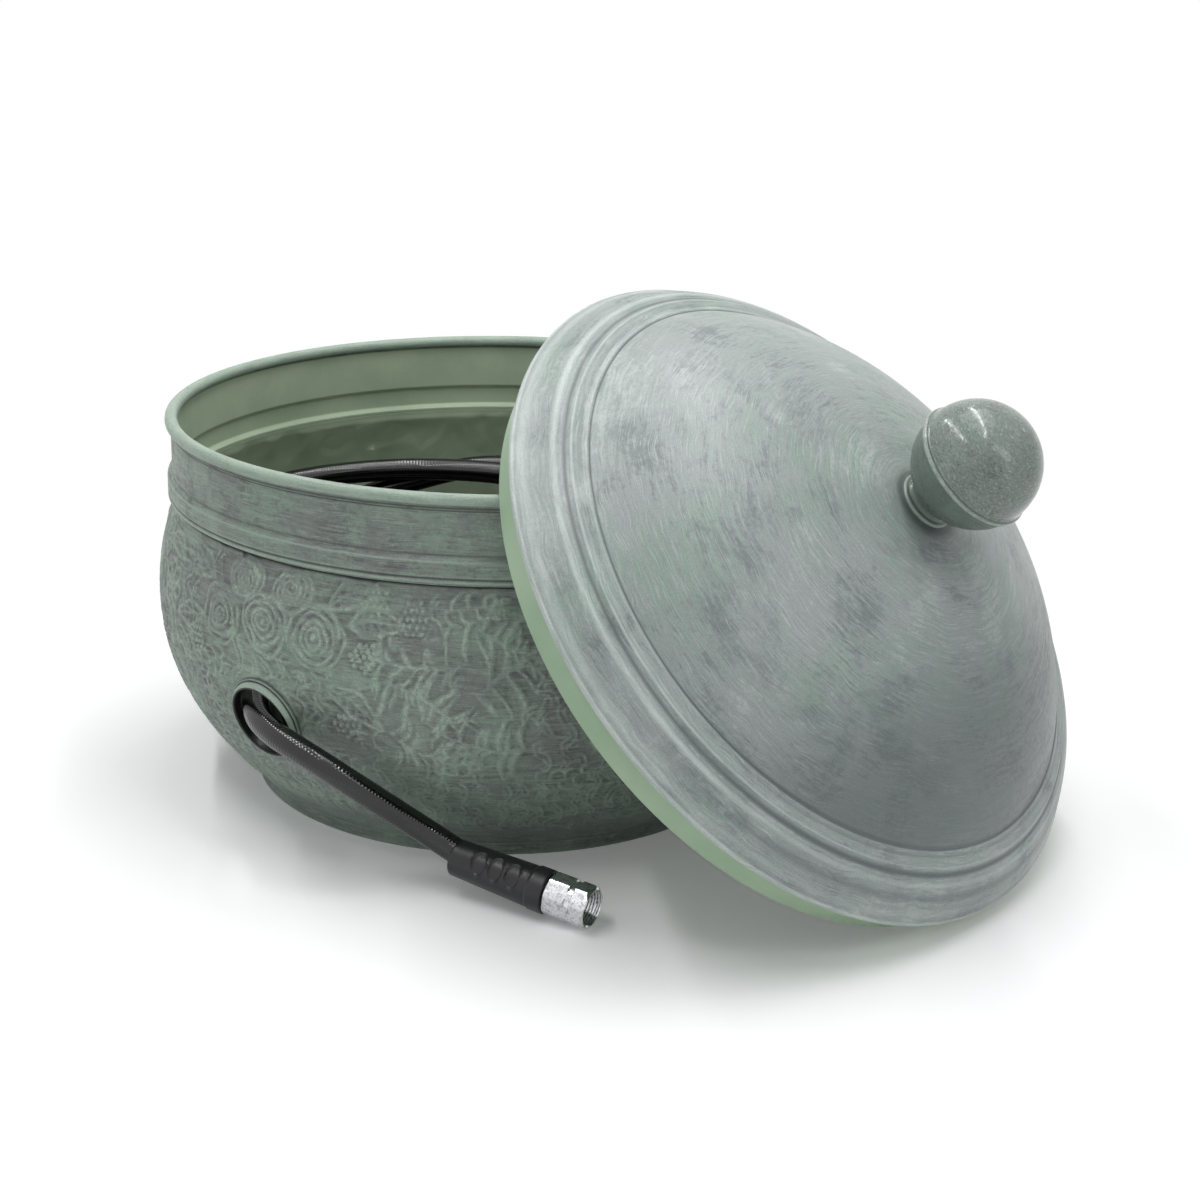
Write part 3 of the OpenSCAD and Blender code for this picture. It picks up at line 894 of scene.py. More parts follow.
class Lathe:
    """Turns sections about the Z axis with one Geometry Nodes tree."""

    STORED = ("section_radius", "section_height", "section_length", "turn")

    def __init__(self) -> None:
        """Builds the tree."""
        w = PieceTree("turned_piece", {"Section": "Geometry", "Steps": "Int", "Finish": "Material"})
        self.tree = w.tree
        line = w.put("GeometryNodeMeshToCurve", {"Mesh": w.given["Section"]})
        circle = w.put("GeometryNodeCurvePrimitiveCircle", {"Resolution": w.given["Steps"], "Radius": 1.0})
        share = w.sum("DIVIDE", w.put("GeometryNodeInputIndex"), w.given["Steps"])
        marked = w.noted(circle, "turn", w.sum("MULTIPLY", share, math.tau), "FLOAT")
        swept = w.put("GeometryNodeCurveToMesh", {"Curve": marked, "Profile Curve": line})
        radius, height, length, turn = (w.stored(name) for name in self.STORED)
        x = w.sum("MULTIPLY", radius, w.sum("COSINE", turn))
        y = w.sum("MULTIPLY", radius, w.sum("SINE", turn))
        spot = w.put("ShaderNodeCombineXYZ", {"X": x, "Y": y, "Z": height})
        craft = w.put("ShaderNodeCombineXYZ", {"X": x, "Y": y, "Z": length})
        noted = w.noted(swept, "craft", craft, "FLOAT_VECTOR")
        moved = w.put("GeometryNodeSetPosition", {"Geometry": noted, "Position": spot})
        w.close(w.put("GeometryNodeMergeByDistance", {"Geometry": moved, "Distance": 1e-6}))

    def turn(self, name: str, section: Section, finish: Paint,
             place: Matrix | None = None, steps: int = 384, longest: float = 6.0) -> Thing:
        """Turns one piece.

        Args:
            name: the piece's name.
            section: what is turned.
            finish: its material.
            place: where the turned piece goes, if not upright on the origin.
            steps: how many facets go round.
            longest: the longest stretch between two points of the section.

        Returns:
            The piece, as a plain mesh.
        """
        fine = section.refined(longest)
        radius, height = fine.points.T * MM
        count = len(radius)
        edges = [(i, (i + 1) % count) for i in range(count)]
        mesh = bpy.data.meshes.new(name + "_section")
        mesh.from_pydata(np.stack([radius, 0 * radius, height], axis=1).tolist(), edges, [])
        for key, values in zip(self.STORED, (radius, height, lengths_of(fine.points) * MM)):
            store(mesh, key, values)
        # the tone of edges and creases, which the paints turn into pale edges, partly painted highlight, and
        # painted shade in the creases
        store(mesh, "tone", fine.tone())
        source = make_object(name + "_section", mesh)
        piece = finish_nodes(source, self.tree, name, {"Steps": steps, "Finish": finish})
        for key in self.STORED:
            piece.data.attributes.remove(piece.data.attributes[key])
        tidy_mesh(piece.data)
        if place is not None:
            piece.data.transform(place)
        return piece


def add_wear_and_light(piece: Thing, amount: Callable[[Array, Array, Array], Array]) -> None:
    """Adds wear, painted highlight and painted shade to the tone of a turned piece, before it is moved to its
    place.

    Args:
        piece: the piece, upright on the origin.
        amount: gives from radius, height and X, in mm, what is added to its tone.
    """
    x, y, z = read_vectors(piece.data.vertices, "co").T / MM
    layer = piece.data.attributes["tone"].data
    tone = np.empty(len(x), np.float32)
    layer.foreach_get("value", tone)
    tone += amount(np.hypot(x, y), z, x)
    layer.foreach_set("value", tone)


def upright(place: Sequence[float], z_axis: Sequence[float], x_axis: Sequence[float]) -> Matrix:
    """Builds the matrix of a local frame.

    Args:
        place: the frame's origin in mm.
        z_axis: direction of its Z axis.
        x_axis: rough direction of its X axis.

    Returns:
        The matrix, in metres.
    """
    z = Vector(z_axis).normalized()
    y = z.cross(Vector(x_axis)).normalized()
    x = y.cross(z)
    frame = Matrix((x, y, z)).transposed().to_4x4()
    frame.translation = Vector(place) * MM
    return frame


class Motif(Enum):
    """The stamped ornaments."""

    ROSE = "rose"
    LEAF = "leaf"
    BERRIES = "berries"
    PLUME = "plume"
    RUFFLE = "ruffle"
    BLOSSOM = "blossom"
    SPRIG = "sprig"


@dataclass(frozen=True)
class Placed:
    """One ornament: its place and size on the strip in mm, its turn in degrees, whether it is mirrored."""

    motif: Motif
    along: float
    height: float
    size: float
    turned: float = 0.0
    mirrored: bool = False

    def chance(self) -> np.random.Generator:
        """Returns the seeded chance that makes one ornament differ from the next."""
        return np.random.default_rng(int(7 * self.along + self.height))

    def put(self, x: Any, y: Any) -> Array:
        """Moves points from the ornament's own frame, where its size is 1, to the strip.

        Args:
            x: their places along the ornament.
            y: their places across it.

        Returns:
            The points on the strip in mm.
        """
        angle = math.radians(self.turned)
        spin = np.array([[math.cos(angle), math.sin(angle)], [-math.sin(angle), math.cos(angle)]])
        points = np.atleast_2d(np.stack([x, y], axis=-1)) * self.size * (1.0, -1.0 if self.mirrored else 1.0)
        return points @ spin + (self.along, self.height)


@dataclass
class Ornament:
    """The stamped relief of the belly: one strip, repeated four times round."""

    width: float = 414.0
    tall: float = 224.0
    cell: float = 0.7
    ridge_width: float = 2.1
    ridge_height: float = 1.4
    margin: float = 80.0
    layout: tuple[tuple[Motif, tuple[tuple[float, ...], ...]], ...] = (
        (Motif.ROSE, ((50, 174, 22.5, 10), (97, 178, 23, 130), (143, 176, 23, 250), (75, 204, 17, 70),
                      (119, 205, 17, 190))),
        (Motif.LEAF, ((150, 199, 44, 20), (168, 190, 42, 4), (38, 198, 40, 158), (26, 170, 40, 192),
                      (154, 142, 46, -32), (362, 206, 40, -16), (392, 148, 38, -36), (340, 112, 44, -12),
                      (226, 86, 40, 14), (388, 92, 40, 166))),
        (Motif.BERRIES, ((188, 208, 9), (216, 199, 12), (182, 170, 11), (20, 146, 11), (166, 118, 10),
                         (352, 200, 11), (352, 132, 11), (300, 210, 8))),
        (Motif.PLUME, ((254, 170, 76, 172), (196, 152, 66, -34), (262, 194, 70, -8, True), (258, 150, 78, 14),
                       (336, 168, 60, 148, True), (196, 116, 70, -14, True), (300, 108, 74, 164),
                       (322, 178, 58, 22))),
        (Motif.BLOSSOM, ((382, 172, 18), (30, 108, 15))),
        (Motif.SPRIG, ((236, 204, 46, 2), (58, 146, 44, 200), (374, 146, 46, 196, True), (132, 84, 50, -12),
                       (300, 80, 48, 8, True))),
    )
    warps: tuple[tuple[tuple[float, float, float, float], ...], ...] = (
        ((1.6, 9, 13, 1), (0.9, 27, -7, 2), (0.5, 73, 3.3, 0), (0.15, 171, -2.1, 0)),
        ((1.3, 11, -11, 0), (0.9, 31, 6, 4), (0.5, 67, -3.7, 1), (0.15, 183, 1.9, 0)),
    )
    ridges: Array = field(init=False)
    pads: Array = field(init=False)
    dips: Array = field(init=False)
    soft: Array = field(init=False)

    def __post_init__(self) -> None:
        """Draws every ornament on the strip, fills the gaps and folds the margins in."""
        shape = (round((self.width + 2 * self.margin) / self.cell), round(self.tall / self.cell))
        self.ridges, self.pads = np.zeros(shape), np.zeros(shape)
        draw = {Motif.ROSE: self._rose, Motif.LEAF: self._leaf, Motif.BERRIES: self._berries,
                Motif.PLUME: self._plume, Motif.BLOSSOM: self._blossom, Motif.SPRIG: self._sprig}
        for motif, rows in self.layout:
            for row in rows:
                draw[motif](Placed(motif, *row))
        for placed in self._gaps():
            self._ruffle(placed)
        self.ridges, self.pads = self._folded(self.ridges), self._folded(self.pads)
        self.dips = np.clip(1.5 * self._blurred(self.ridges) - self.ridges, 0.0, 0.55)
        self.soft = 1.2 * self._blurred(self._blurred(self.ridges))

    def _gaps(self, pitch: float = 15.0, seed: int = 5) -> list[Placed]:
        """Finds places between the large ornaments for small ruffled leaves.

        Args:
            pitch: distance between two places.
            seed: seed of their small irregularities.

        Returns:
            The small leaves.
        """
        chance = np.random.default_rng(seed)
        places = []
        for row, height in enumerate(np.arange(34.0, 214.0, pitch * 0.82)):
            for along in np.arange(0.0, self.width - 1, self.width / round(self.width / pitch)):
                shift, lift, spin, grow = chance.uniform(-1, 1, 4)
                x = along + (row % 2) * pitch / 2 + shift * 2.5
                y = height + lift * 2.5
                i, j, _, _ = self._window(np.array([x, y]) - 6.0, np.array([x, y]) + 6.0)
                cells = self.ridges[i, j]
                if cells.size and (cells > 0.3).mean() < 0.16:
                    turned = (25.0 if row % 2 else 155.0) + 40.0 * spin
                    places.append(Placed(Motif.RUFFLE, x, y, 9.5 + 1.5 * grow, turned, bool(shift > 0)))
        return places

    @staticmethod
    def _blurred(layer: Array, cells: int = 3) -> Array:
        """Blurs a layer of the height map by some cells each way."""
        for axis in (0, 1):
            layer = sum(np.roll(layer, k, axis=axis) for k in range(-cells, cells + 1)) / (2 * cells + 1)
        return layer

    def _folded(self, strip: Array) -> Array:
        """Lays the margins over the other end of the strip, so that it repeats.

        Args:
            strip: the strip with its margins.

        Returns:
            The strip alone.
        """
        edge = round(self.margin / self.cell)
        main = strip[edge:-edge].copy()
        main[:edge] = np.maximum(main[:edge], strip[-edge:])
        main[-edge:] = np.maximum(main[-edge:], strip[:edge])
        return main

    def _window(self, low: Array, high: Array) -> tuple[slice, slice, Array, Array]:
        """Finds the cells between two corners.

        Args:
            low: the lower left corner.
            high: the upper right corner.

        Returns:
            Two slices of the strip and the places of their cells.
        """
        shape = self.ridges.shape
        first = np.floor((low + (self.margin, 0.0)) / self.cell).astype(int)
        last = np.ceil((high + (self.margin, 0.0)) / self.cell).astype(int) + 1
        i = slice(max(0, first[0]), max(0, min(shape[0], last[0])))
        j = slice(max(0, first[1]), max(0, min(shape[1], last[1])))
        x = (np.arange(i.start, i.stop) + 0.5) * self.cell - self.margin
        y = (np.arange(j.start, j.stop) + 0.5) * self.cell
        return i, j, x[:, None], y[None, :]

    def ridge(self, line: Array, half_width: float, height: float, tapered: bool = False) -> None:
        """Raises a line.

        Args:
            line: its points.
            half_width: half its width in mm.
            height: its height in mm.
            tapered: whether it runs out at both ends.
        """
        i, j, x, y = self._window(line.min(axis=0) - half_width, line.max(axis=0) + half_width)
        share = (np.arange(len(line) - 1) + 0.5) / (len(line) - 1)
        wide = 0.35 + 0.65 * np.sin(math.pi * share) ** 0.6 if tapered else np.ones_like(share)
        best = np.full(self.ridges[i, j].shape, 1e9)
        for a, b, part in zip(line[:-1], line[1:], wide * half_width):
            run = b - a
            along = ((x - a[0]) * run[0] + (y - a[1]) * run[1]) / (run @ run + 1e-9)
            along = np.clip(along, 0.0, 1.0)
            away = (x - a[0] - along * run[0]) ** 2 + (y - a[1] - along * run[1]) ** 2
            best = np.minimum(best, away / part**2)
        rise = height * (1.0 - smoothstep(0.0, 1.0, np.sqrt(best)))
        self.ridges[i, j] = np.maximum(self.ridges[i, j], rise)

    def dot(self, centre: Array, radius: float, height: float) -> None:
        """Raises a round dot.

        Args:
            centre: its centre.
            radius: its radius in mm.
            height: its height in mm.
        """
        i, j, x, y = self._window(centre - radius, centre + radius)
        away = ((x - centre[0]) ** 2 + (y - centre[1]) ** 2) / radius**2
        self.ridges[i, j] = np.maximum(self.ridges[i, j], height * np.sqrt(np.clip(1.0 - away, 0.0, 1.0)))

    def pad(self, outline: Array, height: float, soft: float) -> None:
        """Raises the inside of an outline as a soft cushion.

        Args:
            outline: its points, round a convex shape.
            height: its height in mm.
            soft: how far from the edge it reaches its full height, in mm.
        """
        i, j, x, y = self._window(outline.min(axis=0), outline.max(axis=0))
        inside = np.full(self.ridges[i, j].shape, 1e9)
        ends = np.roll(outline, -1, axis=0)
        area = np.sum(outline[:, 0] * ends[:, 1] - ends[:, 0] * outline[:, 1])
        side = 1.0 if area > 0 else -1.0
        for a, b in zip(outline, ends):
            run = (b - a) / (np.linalg.norm(b - a) + 1e-9)
            inside = np.minimum(inside, side * (run[0] * (y - a[1]) - run[1] * (x - a[0])))
        rise = height * np.sin(0.5 * math.pi * np.clip(inside / soft, 0.0, 1.0))
        self.pads[i, j] = np.maximum(self.pads[i, j], rise)

    def _stroke(self, placed: Placed, x: Any, y: Any, width: float = 1.0, height: float = 1.0,
                tapered: bool = False) -> None:
        """Raises a line given in an ornament's own frame."""
        self.ridge(placed.put(x, y), self.ridge_width * width, self.ridge_height * height, tapered)

    def _disc(self, placed: Placed, corners: int, height: float, soft: float) -> None:
        """Raises a round cushion as large as the ornament."""
        around = np.linspace(0, math.tau, corners, endpoint=False)
        self.pad(placed.put(np.cos(around), np.sin(around)), height, placed.size * soft)

    def _rose(self, placed: Placed) -> None:
        """Draws a rose: a cushion with rings of overlapping petals round a bud."""
        chance = placed.chance()
        self._disc(placed, 32, 1.5, 0.9)
        s = np.linspace(0, 1, 13)
        middle = chance.uniform(-0.07, 0.07, 2)
        rings = ((4, 0.96, 2.3, 0.0), (4, 0.7, 2.1, 0.5), (3, 0.45, 2.6, 1.1), (2, 0.24, 3.2, 0.4))
        for petals, reach, sweep, start in rings:
            for k in range(petals):
                shift, grow, wide = chance.uniform(-1, 1, 3)
                angle = start + (k + 0.12 * shift) * math.tau / petals + (s - 0.5) * sweep
                radius = reach * (0.84 + 0.05 * grow + 0.1 * np.sin(math.pi * s) + 0.13 * s)
                x, y = (radius * turn(angle) + at * (1 - reach) for turn, at in zip((np.cos, np.sin), middle))
                self._stroke(placed, x, y, 1.15 + 0.3 * wide, 0.95 + 0.1 * grow, True)
        self.dot(placed.put(*middle)[0], placed.size * 0.11, self.ridge_height)

    def _leaf(self, placed: Placed) -> None:
        """Draws a pointed leaf with a midrib and slanting veins."""
        t = np.linspace(0, 1, 19)
        half = 0.21 * np.sin(math.pi * t**0.85) ** 0.9
        bend = 0.06 * np.sin(math.pi * t)
        outline = placed.put(np.concatenate([t, t[::-1]]), np.concatenate([bend - half, (bend + half)[::-1]]))
        self.pad(outline, 0.6, placed.size * 0.13)
        self._stroke(placed, t, bend + half)
        self._stroke(placed, t, bend - half)
        self._stroke(placed, t, bend, 0.7, 0.9)
        for k in range(1, 6):
            foot = k / 6.5
            rib = 0.06 * math.sin(math.pi * foot)
            reach = 0.21 * math.sin(math.pi * (foot + 0.13) ** 0.85) ** 0.9 * 0.86
            for side in (-1, 1):
                self._stroke(placed, (foot, foot + 0.13), (rib, rib + side * reach), 0.5, 0.6)

    def _berries(self, placed: Placed) -> None:
        """Draws a cluster of small round berries in even rows."""
        pitch = 5.0
        rows = int(placed.size / (pitch * 0.87))
        for j in range(-rows, rows + 1):
            for i in range(-rows - 1, rows + 2):
                spot = np.array([(i + 0.5 * (j % 2)) * pitch, j * pitch * 0.87])
                if np.hypot(*spot) <= placed.size:
                    self.dot(spot + (placed.along, placed.height), 2.1, 2.0)

    def _plume(self, placed: Placed) -> None:
        """Draws a curling plume: broad soft lobes of uneven length on both sides of a bowed spine."""
        chance = placed.chance()
        s = np.linspace(0, 1, 12)
        self._stroke(placed, s, 0.16 * np.sin(math.pi * s * 0.9), 1.0, 0.8, True)
        for k in range(7):
            for side in (-1, 1):
                shift, grow, curl, wide = chance.uniform(-1, 1, 4)
                foot = 0.06 + 0.125 * (k + 0.3 * shift + 0.25 * side)
                reach = (0.24 + 0.07 * grow) * (1.1 - 0.55 * foot)
                turn = 0.5 + 0.25 * curl + (1.2 + 0.5 * curl) * s
                x = foot + reach * 0.9 * np.cumsum(np.cos(turn)) / len(s)
                y = (0.16 * math.sin(math.pi * foot * 0.9)
                     + side * reach * 1.5 * np.cumsum(np.sin(turn)) / len(s))
                self._stroke(placed, x, y, 1.5 + 0.5 * wide, 0.9 + 0.15 * grow, True)
                if k % 2 == 0:
                    self._stroke(placed, x[4:9] + 0.05 * s[:5], y[4:9] - side * 0.11 * s[:5], 0.8, 0.7, True)

    def _ruffle(self, placed: Placed) -> None:
        """Draws a small ruffled leaf: nested crescents that bow the same way."""
        s = np.linspace(-1, 1, 9)
        for reach, spread, width in ((1.0, 1.15, 1.0), (0.55, 0.95, 0.85)):
            bow = reach * (0.35 + 0.5 * (1 - s**2))
            self._stroke(placed, bow, reach * spread * s * 0.75, width, 0.85, True)
        self._stroke(placed, (-0.9, -0.3, 0.35), (0.0, 0.08, 0.0), 0.7, 0.7, True)

    def _blossom(self, placed: Placed) -> None:
        """Draws an open flower with eight petals round a dotted eye."""
        self._disc(placed, 24, 0.6, 0.6)
        u = np.linspace(0, 1, 11)
        for angle in np.arange(8) * math.pi / 4:
            for side in (-1, 1):
                aside = side * 0.25 * np.sin(math.pi * u**1.4)
                self._slanted(placed, (0.0, 0.0), angle, 0.26 + 0.74 * u, aside, (0.8, 0.9))
        for k in range(7):
            out = 0.15 if k else 0.0
            self.dot(placed.put(out * math.cos(k), out * math.sin(k))[0], 1.5, 1.1)

    def _sprig(self, placed: Placed) -> None:
        """Draws a stem with comma-shaped leaves set in turn on its two sides."""
        t = np.linspace(0, 1, 15)
        self._stroke(placed, t, 0.08 * np.sin(math.pi * t), 0.75, 0.8, True)
        u = np.linspace(0, 1, 9)
        for k in range(8):
            foot = 0.08 + 0.115 * k
            lean, bow = (0.95, 0.09) if k % 2 else (-0.8, -0.09)
            self._slanted(placed, (foot, 0.08 * math.sin(math.pi * foot)), lean, 0.32 * (1 - 0.45 * foot) * u,
                          bow * np.sin(math.pi * u), (1.2, 0.95, True))

    def _slanted(self, placed: Placed, base: Pair, angle: float, out: Array,
                 aside: Array, look: tuple[Any, ...]) -> None:
        """Raises a line given by its places along and beside a slanting direction."""
        cos, sin = math.cos(angle), math.sin(angle)
        self._stroke(placed, base[0] + out * cos - aside * sin, base[1] + out * sin + aside * cos, *look)

    def read(self, angle: Array, height: Array) -> list[Array]:
        """Reads the relief at places on the belly, with the small waves of hand-cut dies.

        Args:
            angle: angles round the pot in degrees.
            height: heights above the floor in mm.

        Returns:
            The cushions, the raised lines, the dips beside them and the lines as they show inside, in mm.
        """
        turn = np.radians(angle)
        aside, lift = (sum(size * np.sin(waves * turn + height / tall + phase)
                           for size, waves, tall, phase in warp) for warp in self.warps)
        along = (angle + 110.0) % 360.0 * (4 * self.width / 360.0) + aside
        columns, rows = self.ridges.shape
        x = (along % self.width) / self.cell - 0.5
        y = np.clip((height + lift) / self.cell - 0.5, 0, rows - 1.001)
        i, j = np.floor(x).astype(int), np.floor(y).astype(int)
        fx, fy = x - i, y - j
        left, right = i % columns, (i + 1) % columns
        results = []
        for layer in (self.pads, self.ridges, self.dips, self.soft):
            low = layer[left, j] * (1 - fx) + layer[right, j] * fx
            high = layer[left, j + 1] * (1 - fx) + layer[right, j + 1] * fx
            results.append(low * (1 - fy) + high * fy)
        return results


@dataclass
class Spun:
    """What the pot and the lid share: the finishes, and the lathe that turns their round pieces."""

    finishes: Finishes
    lathe: Lathe


@dataclass
class Pot(Spun):
    """The pot: embossed belly, collar with its rolled rim, foot and outlet eyelet.

    The belly's section is two quarter ellipses, belly_low and belly_up high, whose centres lie
    belly_middle inside the axis. Its stamped ground lies up to deepest under that outline.
    """

    belly_radius: float = 263.7
    belly_height: float = 147.0
    belly_middle: float = 60.0
    belly_low: float = 220.0
    belly_up: float = 250.0
    sheet: float = 1.2
    foot_height: float = 10.0
    collar_height: float = 221.0
    neck_radius: float = 249.7
    ring_radius: float = 253.2
    rim_radius: float = 249.0
    rim_height: float = 280.0
    rim_bead: float = 4.8
    foot_radius: float = 192.0
    outlet_height: float = 104.0
    outlet_radius: float = 26.5
    cell: float = 1.5
    triangles: int = 196000
    deepest: float = 2.2
    outlet_clear: Pair = (31.5, 36.5)
    bow_across: float = 0.00187
    bow_up: float = 0.00313

    def radius_at(self, height: Array | float) -> Array:
        """Returns the belly's outer radius at a height, both in mm."""
        height = np.asarray(height, float)
        tall = np.where(height < self.belly_height, self.belly_low, self.belly_up)
        round_part = np.sqrt(np.clip(1 - ((height - self.belly_height) / tall) ** 2, 0, 1))
        return (self.belly_radius + self.belly_middle) * round_part - self.belly_middle

    def outlet_place(self) -> Matrix:
        """Returns the outlet's frame: its Z axis points out of the belly."""
        slope = float(self.radius_at(self.outlet_height + 0.5) - self.radius_at(self.outlet_height - 0.5))
        out = (0.0, -math.cos(math.atan(slope)), -math.sin(math.atan(slope)))
        place = (0.0, -float(self.radius_at(self.outlet_height)), self.outlet_height)
        return upright(place, out, (1, 0, 0))

    def stamped(self, height: Array) -> Array:
        """Returns how much of the ornament is left at a height, beside the belly's two edges."""
        return smoothstep(0, 10, height - self.foot_height) * smoothstep(0, 7, self.collar_height - height)

    def near_outlet(self, spots: Array) -> tuple[Array, Array]:
        """Measures places on the belly from the outlet.

        Args:
            spots: the places, one a row.

        Returns:
            The places in the outlet's frame, and their distance from its axis.
        """
        inward = self.outlet_place().inverted()
        local = (spots * MM @ np.array(inward.to_3x3()).T + np.array(inward.translation)) / MM
        behind = local[:, 2] < -60
        return local, np.hypot(local[:, 0], local[:, 1]) + 1000 * behind

    def belly(self, ornament: Ornament) -> Thing:
        """Stamps the belly: two skins of a grid, raised by the ornament, with the outlet cut out.

        Args:
            ornament: the relief.

        Returns:
            The belly.
        """
        fine = np.linspace(self.foot_height, self.collar_height, 400)
        length = lengths_of(np.stack([self.radius_at(fine), fine], axis=1))
        heights = np.interp(np.linspace(0, length[-1], int(length[-1] / self.cell) + 1), length, fine)
        columns = int(math.tau * self.belly_radius / self.cell)
        angles = np.arange(columns)[:, None] / columns * math.tau
        radii = self.radius_at(heights)
        section = np.stack([radii, heights], axis=1)
        across = (beside(section, 1.0) - section).T
        level = heights + 0 * angles
        pads, lines, _, soft = ornament.read(np.degrees(angles) + 0 * level, level)
        edge = self.stamped(heights)
        local, away = self.near_outlet(spun(angles, radii, heights).reshape(-1, 3))
        clear = smoothstep(*self.outlet_clear, away.reshape(level.shape)) * edge
        hoops = (0.5 * bell(heights, 26, 1.3) + 0.4 * bell(heights, 33, 1.2)) * edge
        skins = []
        for depth, share, shown in ((0.0, 1.0, lines), (self.sheet, 0.85, soft)):
            relief = self.deepest * np.tanh((pads + shown) / self.deepest) * clear + hoops
            reach = self.deepest * edge + depth - relief * share
            skins.append(spun(angles, radii + across[0] * reach, heights + across[1] * reach))
        piece = make_object("embossed_belly", self._cut_shell(skins, local, away))
        piece.data.materials.append(self.finishes.belly)
        piece.data.materials.append(self.finishes.inside)
        self._thin(piece)
        self._note_belly(piece.data, ornament, length, fine)
        return piece

    def _cut_shell(self, skins: list[Array], local: Array, away: Array) -> Mesh:
        """Joins two skins into a shell with a round hole.

        Args:
            skins: the outer and the inner grid of points.
            local: the points in the outlet's frame.
            away: their distance from its axis.

        Returns:
            The mesh of the shell.
        """
        columns, rows = skins[0].shape[:2]
        count = columns * rows
        cut = self.outlet_radius + 1.7
        faces = grid_faces(columns, rows, True, False)
        inside = away[faces].mean(axis=1) < cut
        kept = faces[~inside]
        edges = np.concatenate([faces[inside][:, [k, (k + 1) % 4]] for k in range(4)])
        _, inverse, counts = np.unique(np.sort(edges, axis=1), axis=0, return_inverse=True,
                                       return_counts=True)
        rim = edges[counts[inverse] == 1]
        border = np.unique(rim)
        shift = (cut / away[border] - 1.0)[:, None] * local[border][:, :2]
        points = [skin.reshape(-1, 3) for skin in skins]
        for skin in points:
            skin[border] += shift @ np.array(self.outlet_place().to_3x3())[:, :2].T
        rings = [np.arange(columns) * rows + row for row in (0, rows - 1)]
        strips = [(rim[:, 0], rim[:, 1])] + [(ring, np.roll(ring, -1)) for ring in rings]
        walls = [np.stack([start, end, end + count, start + count], axis=1) for start, end in strips]
        return build_mesh("embossed_belly", np.concatenate(points),
                          np.concatenate([kept, kept[:, ::-1] + count] + walls))

    def _thin(self, piece: Thing) -> None:
        """Thins a mesh where it is smooth.

        Args:
            piece: the piece.
        """
        turn_outwards(piece.data, False)
        modifier = piece.modifiers.new("thin", "DECIMATE")
        modifier.ratio = min(1.0, self.triangles / (2 * len(piece.data.polygons)))
        mesh = evaluated(piece, "thinned")
        piece.modifiers.remove(modifier)
        old, piece.data = piece.data, mesh
        bpy.data.meshes.remove(old)
        mesh.name = "embossed_belly"
        mesh.polygons.foreach_set("use_smooth", [True] * len(mesh.polygons))

    def _note_belly(self, mesh: Mesh, ornament: Ornament, length: Array, fine: Array) -> None:
        """Stores the place, the relief and a painted shade on the belly's points, and gives the inside its
        own paint.

        Args:
            mesh: the belly's mesh.
            ornament: the relief.
            length: lengths along the section.
            fine: the heights at those lengths.
        """
        spots = read_vectors(mesh.vertices, "co") / MM
        x, y, z = spots.T
        _, lines, dips, _ = ornament.read(np.degrees(np.arctan2(y, x)), z)
        _, away = self.near_outlet(spots)
        clear = smoothstep(*self.outlet_clear, away) * self.stamped(z)
        store(mesh, "craft", np.stack([x, y, np.interp(z, fine, length)], axis=1) * MM)
        store(mesh, "relief", np.where(lines > 0.15, lines, -1.5 * dips) * clear / ornament.ridge_height)
        # painted shade: a dark band under the collar's ring and a dark ring where the eyelet meets the belly
        store(mesh, "tone", -1.2 * bell(z, self.collar_height, 1.6) - 0.7 * bell(away, 31.2, 0.9))
        out = read_vectors(mesh.polygons, "normal") * read_vectors(mesh.polygons, "center")
        mesh.polygons.foreach_set("material_index", (out[:, :2].sum(axis=1) < 0).astype(np.int32))

    def collar(self) -> Thing:
        """Spins the collar: a lip, the raised ring, the neck and the rolled rim."""
        base = float(self.radius_at(self.collar_height))
        ring, neck = self.ring_radius, self.neck_radius
        outside = rounded([
            (base - 0.1, self.collar_height, 0), (base + 0.2, 222.4, 0.6), (ring - 0.4, 223.2, 0.8),
            (ring + 0.2, 224.6, 0.9), (ring - 0.9, 226.6, 0.5), (ring, 228.0, 0.8), (ring, 238.2, 1.0),
            (neck + 1.2, 240.4, 0.8), (neck, 242.2, 1.2), (neck, 272.2, 0.3), (neck - 0.35, 272.9, 0.3),
            (neck, 273.6, 0.3), (neck, 275.3, 0),
        ])
        centre = (self.rim_radius, self.rim_height)
        roll = arc(centre, self.rim_bead, -78, 256, 40)
        inner_roll = arc(centre, self.rim_bead - self.sheet + 0.05, 254, -72, 30)
        inside = rounded([
            (neck - self.sheet, 275.0, 0), (neck - self.sheet, 241.8, 1.6), (ring - 2.0, 238.6, 1.8),
            (ring - 2.0, 225.6, 2.0), (base - 1.5, 223.0, 0.8), (base - 1.4, self.collar_height, 0),
        ])
        section = Section(np.concatenate([outside, roll, inner_roll, inside]))
        piece = self.lathe.turn("spun_collar", section, self.finishes.collar)
        x, y, z = read_vectors(piece.data.polygons, "center").T / MM
        skin = np.interp(z, outside[:, 1], outside[:, 0])
        chosen = (np.hypot(x, y) < skin - 0.55 * self.sheet) & (z < outside[-1, 1] - 0.2)
        second_paint(piece.data, self.finishes.inside, chosen)
        # painted highlight on the top of the rolled rim, a painted shadow line under it and painted shade in
        # the neck's groove
        add_wear_and_light(piece, lambda r, z, x: 0.42 * smoothstep(276.4, 279.0, z) - 0.75 * bell(z, 276.6, 0.9)
            - 0.3 * bell(z, 273.0, 1.2))
        return piece

    def foot(self) -> Thing:
        """Spins the foot ring."""
        r, top = self.foot_radius, self.foot_height
        line = rounded([(r - 7, 0, 0), (r - 0.4, 0, 1.2), (r, 1.6, 1.0), (r, top, 0), (r - 1.5, top, 0),
                        (r - 1.5, 1.4, 0.6), (r - 7, 1.4, 0)])
        return self.lathe.turn("spun_foot", Section(line), self.finishes.belly)

